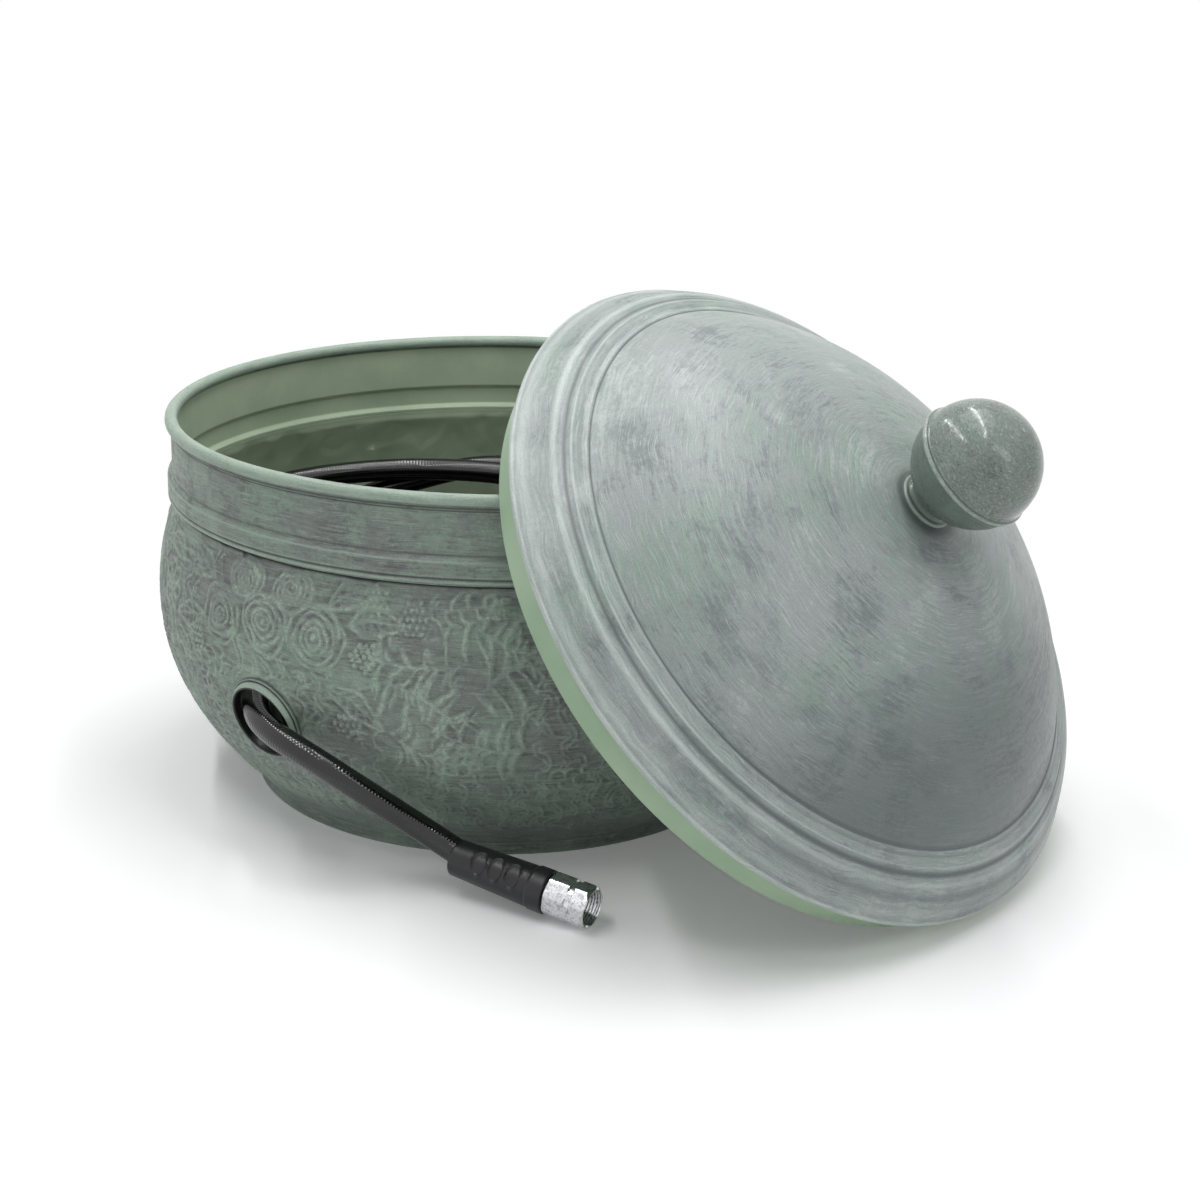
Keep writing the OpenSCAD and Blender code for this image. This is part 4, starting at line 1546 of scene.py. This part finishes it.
    def eyelet(self) -> Thing:
        """Spins the rolled eyelet that lines the outlet, and bows its edge to the wall."""
        r = self.outlet_radius
        flange = np.array([[0.05, -4.7], [1.2, -4.7], [1.2, -1.9], [5.6, -1.9], [5.8, -1.6], [5.7, -0.7],
                           [5.2, -0.2], [4.7, -0.25], [4.3, -0.62], [3.9, -0.55]]) + (r, 0.0)
        line = np.concatenate([flange, arc((r + 1.95, 0.55), 1.9, -28, 188, 20)])
        piece = self.lathe.turn("rolled_eyelet", Section(line), self.finishes.belly, None, 160, 3.0)
        # the roll's crest wears pale; the part below the wall gets painted shade
        add_wear_and_light(piece, lambda radius, z, x: 0.3 * bell(radius, r + 1.9, 1.0) * (z > 1.0) - 1.5 * (z < -0.5))
        mesh = piece.data
        x, y, _ = read_vectors(mesh.polygons, "center").T / MM
        # the bore gets the near-black painted shade
        second_paint(mesh, self.finishes.bore_shade, np.hypot(x, y) < r + 1.6)
        spots = read_vectors(mesh.vertices, "co") / MM
        fall = self.bow_across * spots[:, 0] ** 2 + self.bow_up * spots[:, 1] ** 2
        spots[:, 2] -= fall * smoothstep(0.5, 3.5, np.hypot(spots[:, 0], spots[:, 1]) - r)
        mesh.vertices.foreach_set("co", (spots * MM).ravel())
        mesh.update()
        mesh.transform(self.outlet_place())
        return piece

    def build(self, ornament: Ornament) -> None:
        """Builds the pot's pieces and lets them stand for the plain solids."""
        pieces = [self.belly(ornament), self.collar(), self.foot(), self.eyelet()]
        for piece, node in zip(pieces, ("pot_belly", "pot_collar", "foot_ring", "outlet_eyelet")):
            hand_over(piece, "pot", "pot_paint", node)


def hand_over(piece: Thing, body: str, slot: str, *nodes: str) -> None:
    """Lets a piece ride on a body and stand for plain solids.

    Args:
        piece: the piece.
        body: the body it moves with.
        slot: its material slot in the record; not used.
        *nodes: the solids it stands for.
    """
    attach(piece, body)
    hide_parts(*nodes)
    LOG.info("%s rides on %s, %d faces", piece.name, body, len(piece.data.polygons))


@dataclass
class Lid(Spun):
    """The lid: spun dome with its shoulder and bead, plain skirt, and the ball knob on its stem."""

    lean: float = 48.0
    place_x: float = 256.0
    place_z: float = 178.752
    dome_radius: float = 212.0
    dome_foot: float = 60.0
    dome_rise: float = 91.0
    sheet: float = 1.2
    ball_radius: float = 43.2
    ball_height: float = 199.0
    # gain, radius and width of tone rings: the pale ones are painted highlights, with wear at the edge, the
    # dark ones painted shade, the last at the foot of the knob's stem
    wear_and_light: tuple[Spot, ...] = (
        (0.62, 247.0, 3.0), (0.6, 233.0, 2.4), (0.42, 219.6, 2.6), (-0.28, 227.3, 1.6), (0.4, 250.9, 0.7),
        (-0.3, 239.5, 2.4), (-0.7, 22.0, 5.0),
    )

    def place(self) -> Matrix:
        """Returns the leaning lid's frame."""
        move = Matrix.Translation(Vector((self.place_x, 0, self.place_z)) * MM)
        return move @ Matrix.Rotation(math.radians(self.lean), 4, "Y")

    def dome_at(self, radius: Array | float) -> Array:
        """Returns the dome's height above the hem at a radius, both in mm."""
        share = np.clip(np.asarray(radius, float) / self.dome_radius, 0, 1)
        return self.dome_foot + self.dome_rise * (1 - share**2.2) ** 0.9

    def shell(self) -> Thing:
        """Spins the dome with its shoulder, step and bead."""
        radii = self.dome_radius * np.sin(np.radians(np.linspace(1.2, 86, 44)))
        dome = np.stack([radii, self.dome_at(radii)], axis=1)
        shoulder = rounded([(dome[-1, 0], dome[-1, 1], 0), (213.6, 60.6, 2.0), (216.4, 58.9, 1.2),
                            (223.6, 57.0, 1.0), (224.9, 55.0, 0.8), (226.6, 53.0, 1.4), (229.0, 51.9, 3.0)])
        brim = spline(np.array([[229.0, 51.9], [232.5, 50.3], [235.6, 48.2], [239.0, 44.58], [243.2, 39.2],
                                [247.4, 33.6], [249.8, 30.4]]), 4)
        edge = rounded([(249.8, 30.4, 0), (251.2, 28.6, 1.0), (251.2, 26.3, 0)])
        section = Section.sheet(np.concatenate([dome, shoulder[1:], brim[1:], edge[1:]]), -self.sheet)
        piece = self.lathe.turn("spun_lid", section, self.finishes.lid, None, 320, 5.0)
        # the lid's tone gets painted highlight rings, painted shade and edge wear
        add_wear_and_light(piece, self._wear_and_shading)
        middles = read_vectors(piece.data.polygons, "center")[:, :2]
        out = read_vectors(piece.data.polygons, "normal")
        out[:, :2] *= middles / (np.linalg.norm(middles, axis=1)[:, None] + 1e-9)
        second_paint(piece.data, self.finishes.pale, out @ (1.0, 1.0, 0.8) < -0.2)
        piece.data.transform(self.place())
        return piece

    def _wear_and_shading(self, r: Array, z: Array, x: Array) -> Array:
        """Tells where the lid gets painted highlight rings and edge wear, and where painted shade: dark
        rings, its lower side and below the knob.

        Args:
            r: radii.
            z: heights; not used.
            x: places along X.

        Returns:
            What is added to the tone.
        """
        rings = sum(gain * bell(r, centre, width) for gain, centre, width in self.wear_and_light)
        # painted shade on the side that leans down, towards +X, and below the knob
        slope = 0.44 * smoothstep(-20.0, 190.0, x) * (r < 214.0) + 0.2 * smoothstep(60.0, 150.0, x)
        return rings - slope - 0.3 * bell(r, 40.0, 22.0) * smoothstep(-30.0, 40.0, x)

    def skirt(self) -> Thing:
        """Spins the plain skirt that drops inside the rim."""
        outside = rounded([(249.9, 26.4, 0), (243.2, 26.4, 1.6), (241.6, 24.2, 1.4), (241.0, 12, 0),
                           (240.95, 3.2, 0)])
        hem = arc((239.95, 1.2), 1.15, 10, -190, 14)
        inside = rounded([(238.9, 2.6, 0), (239.7, 12, 0), (240.2, 25.6, 1.2), (242.4, 27.5, 1.0),
                          (249.9, 27.5, 0)])
        section = Section(np.concatenate([outside, hem, inside]))
        return self.lathe.turn("plain_skirt", section, self.finishes.pale, self.place(), 384, 4.0)

    def stem(self) -> Thing:
        """Spins the knob's stem with its flared foot."""
        foot = float(self.dome_at(20.0))
        outside = rounded([(17.4, foot - 0.4, 0), (20.2, foot, 0.5), (20.7, foot + 1.3, 0.8),
                           (19.9, foot + 2.7, 0.8), (18.0, foot + 3.4, 1.4), (16.8, 156.6, 2.5),
                           (16.7, 158.8, 2.0), (17.4, 161.4, 1.0), (16.4, 162.0, 0)])
        inside = [[15.0, 162.0], [15.0, foot + 0.4]]
        section = Section(np.concatenate([outside, inside]))
        return self.lathe.turn("knob_stem_turned", section, self.finishes.cup, self.place(), 128, 2.0)

    def cup(self) -> Thing:
        """Spins the lower half of the knob's ball."""
        line = arc((0.0, self.ball_height), self.ball_radius - 0.25, -66.2, -1.5, 26)
        section = Section.sheet(line, self.sheet)
        return self.lathe.turn("knob_cup", section, self.finishes.cup, self.place(), 160, 3.0)

    def crown(self) -> Thing:
        """Spins the upper half of the ball, with the lip over the cup."""
        r, z = self.ball_radius, self.ball_height
        lip = rounded([(r - 0.1, z - 3.5, 0), (r + 1.4, z - 3.5, 0.7), (r + 1.95, z - 2.4, 0.8),
                       (r + 1.6, z - 1.0, 0.6), (r + 0.7, z - 0.3, 0.4), (r + 0.55, z + 0.2, 0.4),
                       (r + 0.7, z + 0.9, 0.5), (r + 0.1, z + 1.9, 0.6)])
        over = arc((0.0, z), r - 0.08, 5.0, 89.6, 36)
        under = arc((0.0, z), r - self.sheet, 89.6, 0.0, 20)
        section = Section(np.concatenate([lip, over, under]))
        return self.lathe.turn("knob_crown", section, self.finishes.knob, self.place(), 192, 3.0)

    def build(self) -> None:
        """Builds the lid's pieces."""
        cup, crown = self.cup(), self.crown()
        for piece, slot, node in (
            (self.shell(), "lid_paint", "lid_shell"), (self.skirt(), "pale_paint", "lid_skirt"),
            (self.stem(), "lid_paint", "knob_stem"), (cup, "lid_paint", "knob_lower_shell"),
            (crown, "lid_paint", "knob_upper_shell"),
        ):
            hand_over(piece, "lid", slot, node)


class Way(Enum):
    """Which way a layer of the coil winds."""

    OUTWARDS = 1
    INWARDS = -1


@dataclass
class Hose:
    """One hose from the coupling in the pot, up the coil, round the top and out of the outlet."""

    diameter: float = 18.5
    whole: float = 15240.0
    layers: int = 9
    turns: float = 1.349
    last_turns: float = 0.4925
    inner: float = 152.0
    outer: float = 178.0
    step: float = 36.0
    floor: float = 10.0
    top_centre: Pair = (-54.5, -33.0)
    top_radius: float = 165.0
    top_arc: Pair = (110.0, 333.0)
    rib_pitch: float = 2.6
    rib_depth: float = 0.24
    point_gap: float = 4.0
    fine_step: float = 0.65
    coarse_step: float = 16.0
    ribs_before_top: int = 30
    plain_from: int = 170
    ribs_before_outlet: int = 20
    outlet_y: float = -205.0
    tail: tuple[Spot, ...] = (
        (18, -60, 24.3), (30, -60, 23.8), (48, -60, 22.9), (72, -60, 21.6), (98, -56, 20.7), (121, -43, 20.1),
        (139, -24, 19.6), (149, -3, 19.4), (152, 22, 19.3),
    )
    lead: tuple[Spot, ...] = (
        (92.5, -108, 185.8), (120, -54, 185.8), (146, -2, 186), (158, 50, 186), (150, 92, 186),
        (126, 127, 186), (96, 151, 186), (50, 172, 186), (0, 179, 186), (-52, 171, 186),
        (-102.3, 151.7, 186.1), (-143.4, 129.1, 183.6), (-179.2, 95.3, 172.5), (-203.5, 43.2, 161),
        (-208.7, -18.2, 152.6), (-195.6, -73.5, 147), (-168.9, -118.7, 141.9), (-133.4, -154.3, 135.3),
        (-96.4, -182.7, 127.1), (-64.5, -207.2, 119.8), (-36.3, -231.2, 114), (-4.2, -259.2, 108.2),
        (23.8, -270, 104.3), (46.4, -271.9, 100.6), (66.6, -268, 93), (83.8, -258.7, 81.5),
        (98.4, -244.1, 66.3), (113.3, -227.7, 49.6), (133.6, -216.1, 35.3), (158.8, -210.8, 25.1),
        (184.3, -206.5, 22.1), (211.7, -201.9, 19),
    )

    def coil(self) -> Array:
        """Returns the centre line of the stacked layers and the climb to the top turn, in mm."""
        rows: list[Spot] = []
        angle = math.degrees(math.atan2(self.tail[-1][1], self.tail[-1][0]))
        way = Way.OUTWARDS
        for layer in range(self.layers):
            height = self.floor + self.diameter * (layer + 0.5)
            last = layer == self.layers - 1
            sweep = (self.last_turns if last else self.turns) * 360
            start, end = (self.inner, self.outer) if way is Way.OUTWARDS else (self.outer, self.inner)
            end = self.inner + 2 if last else end
            for share in np.linspace(0, 1, 90, endpoint=False):
                swell = 14 * math.sin(math.pi * share) ** 2 if last else 0.0
                rows.append((angle + sweep * share, start + (end - start) * share + swell, height))
            angle += sweep
            rows.append((angle, end, height))
            for share in np.linspace(0.12, 1.0, 8) if last else np.linspace(0.12, 0.88, 7):
                lift = self.diameter * float(smoothstep(0.0, 1.0, share))
                rows.append((angle + self.step * share, end, height + lift))
            angle += self.step
            way = Way.INWARDS if way is Way.OUTWARDS else Way.OUTWARDS
        table = np.array(rows)
        return spun(np.radians(table[:, 0]), table[:, 1], table[:, 2])

    def top_turn(self) -> Array:
        """Returns the centre line of the loose top turn, in mm."""
        height = self.floor + self.diameter * (self.layers + 0.5)
        turn = spun(np.radians(np.linspace(*self.top_arc, 60)), np.array(self.top_radius), np.array(height))
        return turn + (*self.top_centre, 0.0)

    def route(self) -> tuple[Array, Array]:
        """Joins the whole route.

        Returns:
            The centre line in mm at an even gap, and at each point whether ribs show there.
        """
        lead = np.array(self.lead, float)
        coil, top = self.coil()[1:], self.top_turn()
        lower = np.concatenate([np.array(self.tail, float), coil, bridge(coil[-4:], top[:2])])
        line, lower_line, lead_line = (evenly(spline(part, 8), self.point_gap) for part in
                                        (np.concatenate([lower, top, lead[1:]]), lower, lead))
        ribs = np.zeros(len(line))
        ribs[len(lower_line) - self.ribs_before_top :] = 1.0
        start = len(line) - len(lead_line) + self.plain_from
        outlet = int(np.argmax(lead_line[:, 1] < self.outlet_y)) - self.ribs_before_outlet
        ribs[start : start + max(outlet - self.plain_from, 1)] = 0.0
        return line, ribs

    def _tree(self) -> bpy.types.NodeTree:
        """Builds the Geometry Nodes that sweep the jacket and press its ribs in."""
        w = PieceTree("ribbed_jacket", {"Route": "Geometry", "Radius": "Float", "Rib Pitch": "Float",
                                        "Rib Depth": "Float", "Sides": "Int", "Finish": "Material"})
        line = w.put("GeometryNodeMeshToCurve", {"Mesh": w.given["Route"]})
        ring = w.put("GeometryNodeCurvePrimitiveCircle",
                     {"Resolution": w.given["Sides"], "Radius": w.given["Radius"]})
        swept = w.put("GeometryNodeCurveToMesh", {"Curve": line, "Profile Curve": ring, "Fill Caps": True})
        phase = w.sum("DIVIDE", w.stored("along"), w.given["Rib Pitch"])
        wave = w.sum("COSINE", w.sum("MULTIPLY", phase, math.tau))
        depth = w.sum("MULTIPLY", w.sum("MULTIPLY_ADD", wave, 0.5, -0.5), w.given["Rib Depth"])
        reach = w.sum("MULTIPLY", depth, w.stored("ribbed"))
        normal = w.put("GeometryNodeInputNormal")
        push = w.put("ShaderNodeVectorMath", {0: normal, "Scale": reach}, operation="SCALE")
        w.close(w.put("GeometryNodeSetPosition", {"Geometry": swept, "Offset": push}))
        return w.tree

    def build(self, finishes: Finishes) -> tuple[Thing, Array]:
        """Sweeps the hose.

        Args:
            finishes: the materials.

        Returns:
            The hose and the points of its centre line, in metres.
        """
        line, ribs = self.route()
        length = lengths_of(line)
        marks = [0.0]
        while marks[-1] < length[-1] - 0.3:
            shows = np.interp(marks[-1], length, ribs) > 0.01
            marks.append(min(length[-1], marks[-1] + (self.fine_step if shows else self.coarse_step)))
        smooth = self._smoothed(line, length, np.array(marks))
        mesh = bpy.data.meshes.new("hose_route")
        mesh.from_pydata((smooth * MM).tolist(), [(i, i + 1) for i in range(len(marks) - 1)], [])
        store(mesh, "along", np.array(marks) * MM)
        store(mesh, "ribbed", np.interp(marks, length, ribs))
        inputs = {"Radius": self.diameter / 2 * MM, "Rib Pitch": self.rib_pitch * MM,
                  "Rib Depth": self.rib_depth * MM, "Sides": 24, "Finish": finishes.hose}
        piece = finish_nodes(make_object("hose_route", mesh), self._tree(), "coiled_hose", inputs)
        tidy_mesh(piece.data, 60)
        LOG.info("hose: %.2f m long", length[-1] * MM)
        return piece, line * MM

    def _smoothed(self, line: Array, length: Array, marks: Array) -> Array:
        """Reads a polyline at lengths along it, without its corners.

        Args:
            line: the polyline's points.
            length: the length at each.
            marks: the lengths wanted.

        Returns:
            The points.
        """
        reach = 5.0
        offsets = np.linspace(-reach, reach, 7)
        total = np.zeros((len(marks), 3))
        for offset in offsets:
            where = np.clip(marks + offset * np.clip(np.minimum(marks, length[-1] - marks) / reach, 0, 1), 0,
                            length[-1])
            total += read_along(line, length, where)
        return total / len(offsets)


@dataclass
class Couplings:
    """The fittings at the hose's two ends: moulded grips, the swivel nut and the male thread."""

    finishes: Finishes
    nut_place: Spot = (247.0, -196.0, 14.9)
    nut_out: Spot = (0.97995, 0.16399, -0.11320)
    male_place: Spot = (30.0, -60.0, 23.8)
    male_out: Spot = (-0.99912, 0.0, 0.04188)
    nut_length: float = 32.7
    corner: float = 16.0
    outer_grip: float = 75.0
    inner_grip: float = 60.0

    def nut_frame(self) -> Matrix:
        """Returns the outer coupling's frame: its front face lies in its XY plane, X points up."""
        return upright(self.nut_place, self.nut_out, (0, 0, 1))

    def male_frame(self) -> Matrix:
        """Returns the inner coupling's frame."""
        return upright(self.male_place, self.male_out, (0, 0, 1))

    @staticmethod
    def surface(name: str, rows: list[tuple[float, Ring]], frame: Matrix,
                finish: Paint, sides: int = 128, sharp: float = 40.0) -> Thing:
        """Builds a closed tube-like surface from rings whose radius depends on the angle.

        Args:
            name: the piece's name.
            rows: for each ring its height and its radius as a function of the angle.
            frame: where it goes.
            finish: its material.
            sides: points in a ring.
            sharp: edges that bend more than this many degrees stay sharp.

        Returns:
            The piece.
        """
        angle = np.arange(sides) / sides * math.tau
        points = np.concatenate([spun(angle, radius(angle), np.array(height)) for height, radius in rows])
        mesh = build_mesh(name, points, grid_faces(len(rows), sides, True, True))
        mesh.materials.append(finish)
        tidy_mesh(mesh, sharp)
        mesh.transform(frame)
        return make_object(name, mesh)

    def grip(self, name: str, frame: Matrix, length: float, finish: Paint) -> Thing:
        """Moulds a tapered grip with a collar and three recessed ovals.

        Args:
            name: the piece's name.
            frame: where it goes; it ends at height 0 in front and starts at -length.
            length: its length.
            finish: its material.

        Returns:
            The grip.
        """
        def body(height: float) -> float:
            """Returns the plain radius at a height above the hose end."""
            taper = 12.8 + 2.0 * min(height, length - 11) / (length - 11)
            line = 0.35 * float(bell(np.array(height), length - 13.6, 0.8))
            front = float(smoothstep(length - 12.4, length - 11.4, np.array(height)))
            return taper - line + (15.5 - taper) * front

        def ring(height: float) -> Ring:
            """Returns a ring of the grip, narrowed at its rounded ends."""
            end = min(height, length - height)
            cut = 1.2 * (1 - math.sqrt(max(0.0, 1 - (1 - min(end / 1.2, 1.0)) ** 2)))

            def radius(angle: Array) -> Array:
                """Returns the radius at each angle."""
                result = np.full_like(angle, body(height) - cut)
                side = np.angle(np.exp(1j * (angle - math.radians(54)))) * 13.8
                for centre in (length - 24.5, length - 38.0, length - 51.5):
                    oval = np.hypot((height - centre) / 5.8, side / 9.0)
                    result += 0.5 * bell(oval, 1.04, 0.06) - 1.3 * (1 - smoothstep(0.82, 0.98, oval))
                return result
            return radius

        middle = np.arange(2.2, length - 1.3, 0.7)
        heights = [0.0, 0.25, 0.7, 1.4, *middle, length - 0.8, length - 0.3, length]
        rows = [(height - length, ring(height)) for height in heights]
        rows += self.plain((-0.02, 9.35), (-length + 0.02, 9.35))
        return self.surface(name, rows, frame, finish, 144)

    @staticmethod
    def octagon(corner: float, limit: float) -> Ring:
        """Makes the outline of an eight-sided bar with slightly rounded corners, turned down to a limit.

        Args:
            corner: radius over its corners.
            limit: radius that it is turned down to.

        Returns:
            The radius as a function of the angle.
        """
        def radius(angle: Array) -> Array:
            """Returns the radius at each angle."""
            part = (angle + math.pi / 8) % (math.pi / 4) - math.pi / 8
            flat = corner * math.cos(math.pi / 8) / np.cos(part)
            soft = -np.log(np.exp(-flat * 6) + np.exp(-(corner - 0.35) * 6)) / 6
            return np.minimum(soft, limit)
        return radius

    def nut(self) -> Thing:
        """Machines the plated swivel nut, with its thread inside."""
        back = -self.nut_length
        outside = [(back, 13.6), (back + 0.3, 14.1), (back + 1.6, 15.4), (back + 2.6, 16.4), (-16.6, 16.4),
                   (-15.9, 15.7), (-15.3, 14.4), (-15.0, 14.15), (-12.0, 14.15), (-11.7, 14.4), (-11.2, 15.6),
                   (-10.6, 16.4), (-3.0, 16.4), (-2.2, 15.8), (-0.9, 14.7), (-0.3, 14.2), (0.0, 13.8)]
        rows = [(height, self.octagon(self.corner, limit)) for height, limit in outside]
        rows += self.plain((-0.05, 13.1), (-0.8, 12.5))
        rows += [(height, self.thread(12.4, 0.9, height, 2.2)) for height in np.arange(-1.0, -11.0, -0.3)]
        rows += self.plain((-11.3, 12.4), (-11.35, 13.1), (-20.3, 13.1), (-20.35, 9.1), (back, 9.1))
        return self.surface("plated_nut", rows, self.nut_frame(), self.finishes.chrome, 192, 24)

    @staticmethod
    def plain(*rings: Pair) -> list[tuple[float, Ring]]:
        """Makes round rings from their heights and radii."""
        return [(height, lambda angle, r=radius: np.full_like(angle, r)) for height, radius in rings]

    @staticmethod
    def thread(crest: float, depth: float, height: float, pitch: float) -> Ring:
        """Makes one ring of a screw thread.

        Args:
            crest: radius at its crest.
            depth: how deep it is; above 0 the crest is inside.
            height: the ring's height.
            pitch: distance between two threads.

        Returns:
            The radius as a function of the angle.
        """
        def radius(angle: Array) -> Array:
            """Returns the radius at each angle."""
            phase = (height / pitch + angle / math.tau) % 1.0
            return crest + depth * (0.5 + 0.5 * np.cos(math.tau * phase))
        return radius

    def male(self) -> Thing:
        """Machines the plated male end with its thread."""
        outside = [(60.1, 13.0), (61.2, 14.4), (62.0, 15.3), (68.2, 15.3), (69.2, 14.4), (69.9, 13.2)]
        rows = [(height, self.octagon(15.0, limit)) for height, limit in outside]
        rows += self.plain((70.0, 12.2), (71.9, 12.2), (72.3, 12.4))
        rows += [(height, self.thread(13.35, -1.0, height, 2.2)) for height in np.arange(72.6, 82.4, 0.3)]
        rows += self.plain((82.6, 12.3), (83.0, 11.8), (83.0, 7.0), (82.4, 6.5), (60.1, 6.5))
        return self.surface("plated_male_end", rows, self.male_frame(), self.finishes.chrome, 160, 30)

    def build(self, hose: Thing, line: Array, size: Hose, frame: dict[str, Any]) -> None:
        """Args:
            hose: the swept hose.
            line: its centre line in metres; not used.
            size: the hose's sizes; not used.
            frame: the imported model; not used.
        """
        outer_frame = self.nut_frame() @ Matrix.Translation((0, 0, (-self.nut_length - 0.3) * MM))
        outer = self.grip("outer_grip", outer_frame, self.outer_grip, self.finishes.grip)
        inner_frame = self.male_frame() @ Matrix.Translation((0, 0, self.inner_grip * MM))
        inner = self.grip("inner_grip", inner_frame, self.inner_grip, self.finishes.grip)
        nut, male = self.nut(), self.male()
        hand_over(outer, "pot", "grip_rubber", "grip_sleeve")
        hand_over(inner, "pot", "grip_rubber", "male_sleeve")
        hand_over(nut, "nut", "chrome", "swivel_nut")
        hand_over(male, "pot", "chrome", "male_coupling")
        hand_over(hose, "pot", "hose_rubber", "hose_coil", "hose_top_turn", "hose_lead", "hose_tail")


def dress_carried_nodes(frame: dict[str, Any], finishes: Finishes) -> None:
    """Gives the solids that stay as they are their real finish.

    Args:
        frame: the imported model.
        finishes: the materials.
    """
    steel = ("rim_wire", "knob_bolt", "knob_washer", "knob_nut", "crimp_ferrule")
    paints = dict.fromkeys(steel, finishes.steel)
    paints.update(base_pan=finishes.inside, female_tailpiece=finishes.brass, hose_washer=finishes.grip)
    for name, paint in paints.items():
        mesh = frame["nodes"][name].data
        mesh.materials.clear()
        mesh.materials.append(paint)
        LOG.info("%s keeps its solid and gets %s", name, paint.name)


def main() -> None:
    """Builds the studio, the hose, the pot and the lid."""
    logging.basicConfig(level=logging.INFO, format="%(message)s")
    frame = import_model()
    Studio().build()
    finishes = Finishes()
    lathe = Lathe()
    size = Hose()
    hose, line = size.build(finishes)
    Couplings(finishes).build(hose, line, size, frame)
    Pot(finishes, lathe).build(Ornament())
    Lid(finishes, lathe).build()
    dress_carried_nodes(frame, finishes)
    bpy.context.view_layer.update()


if __name__ == "__main__":
    main()
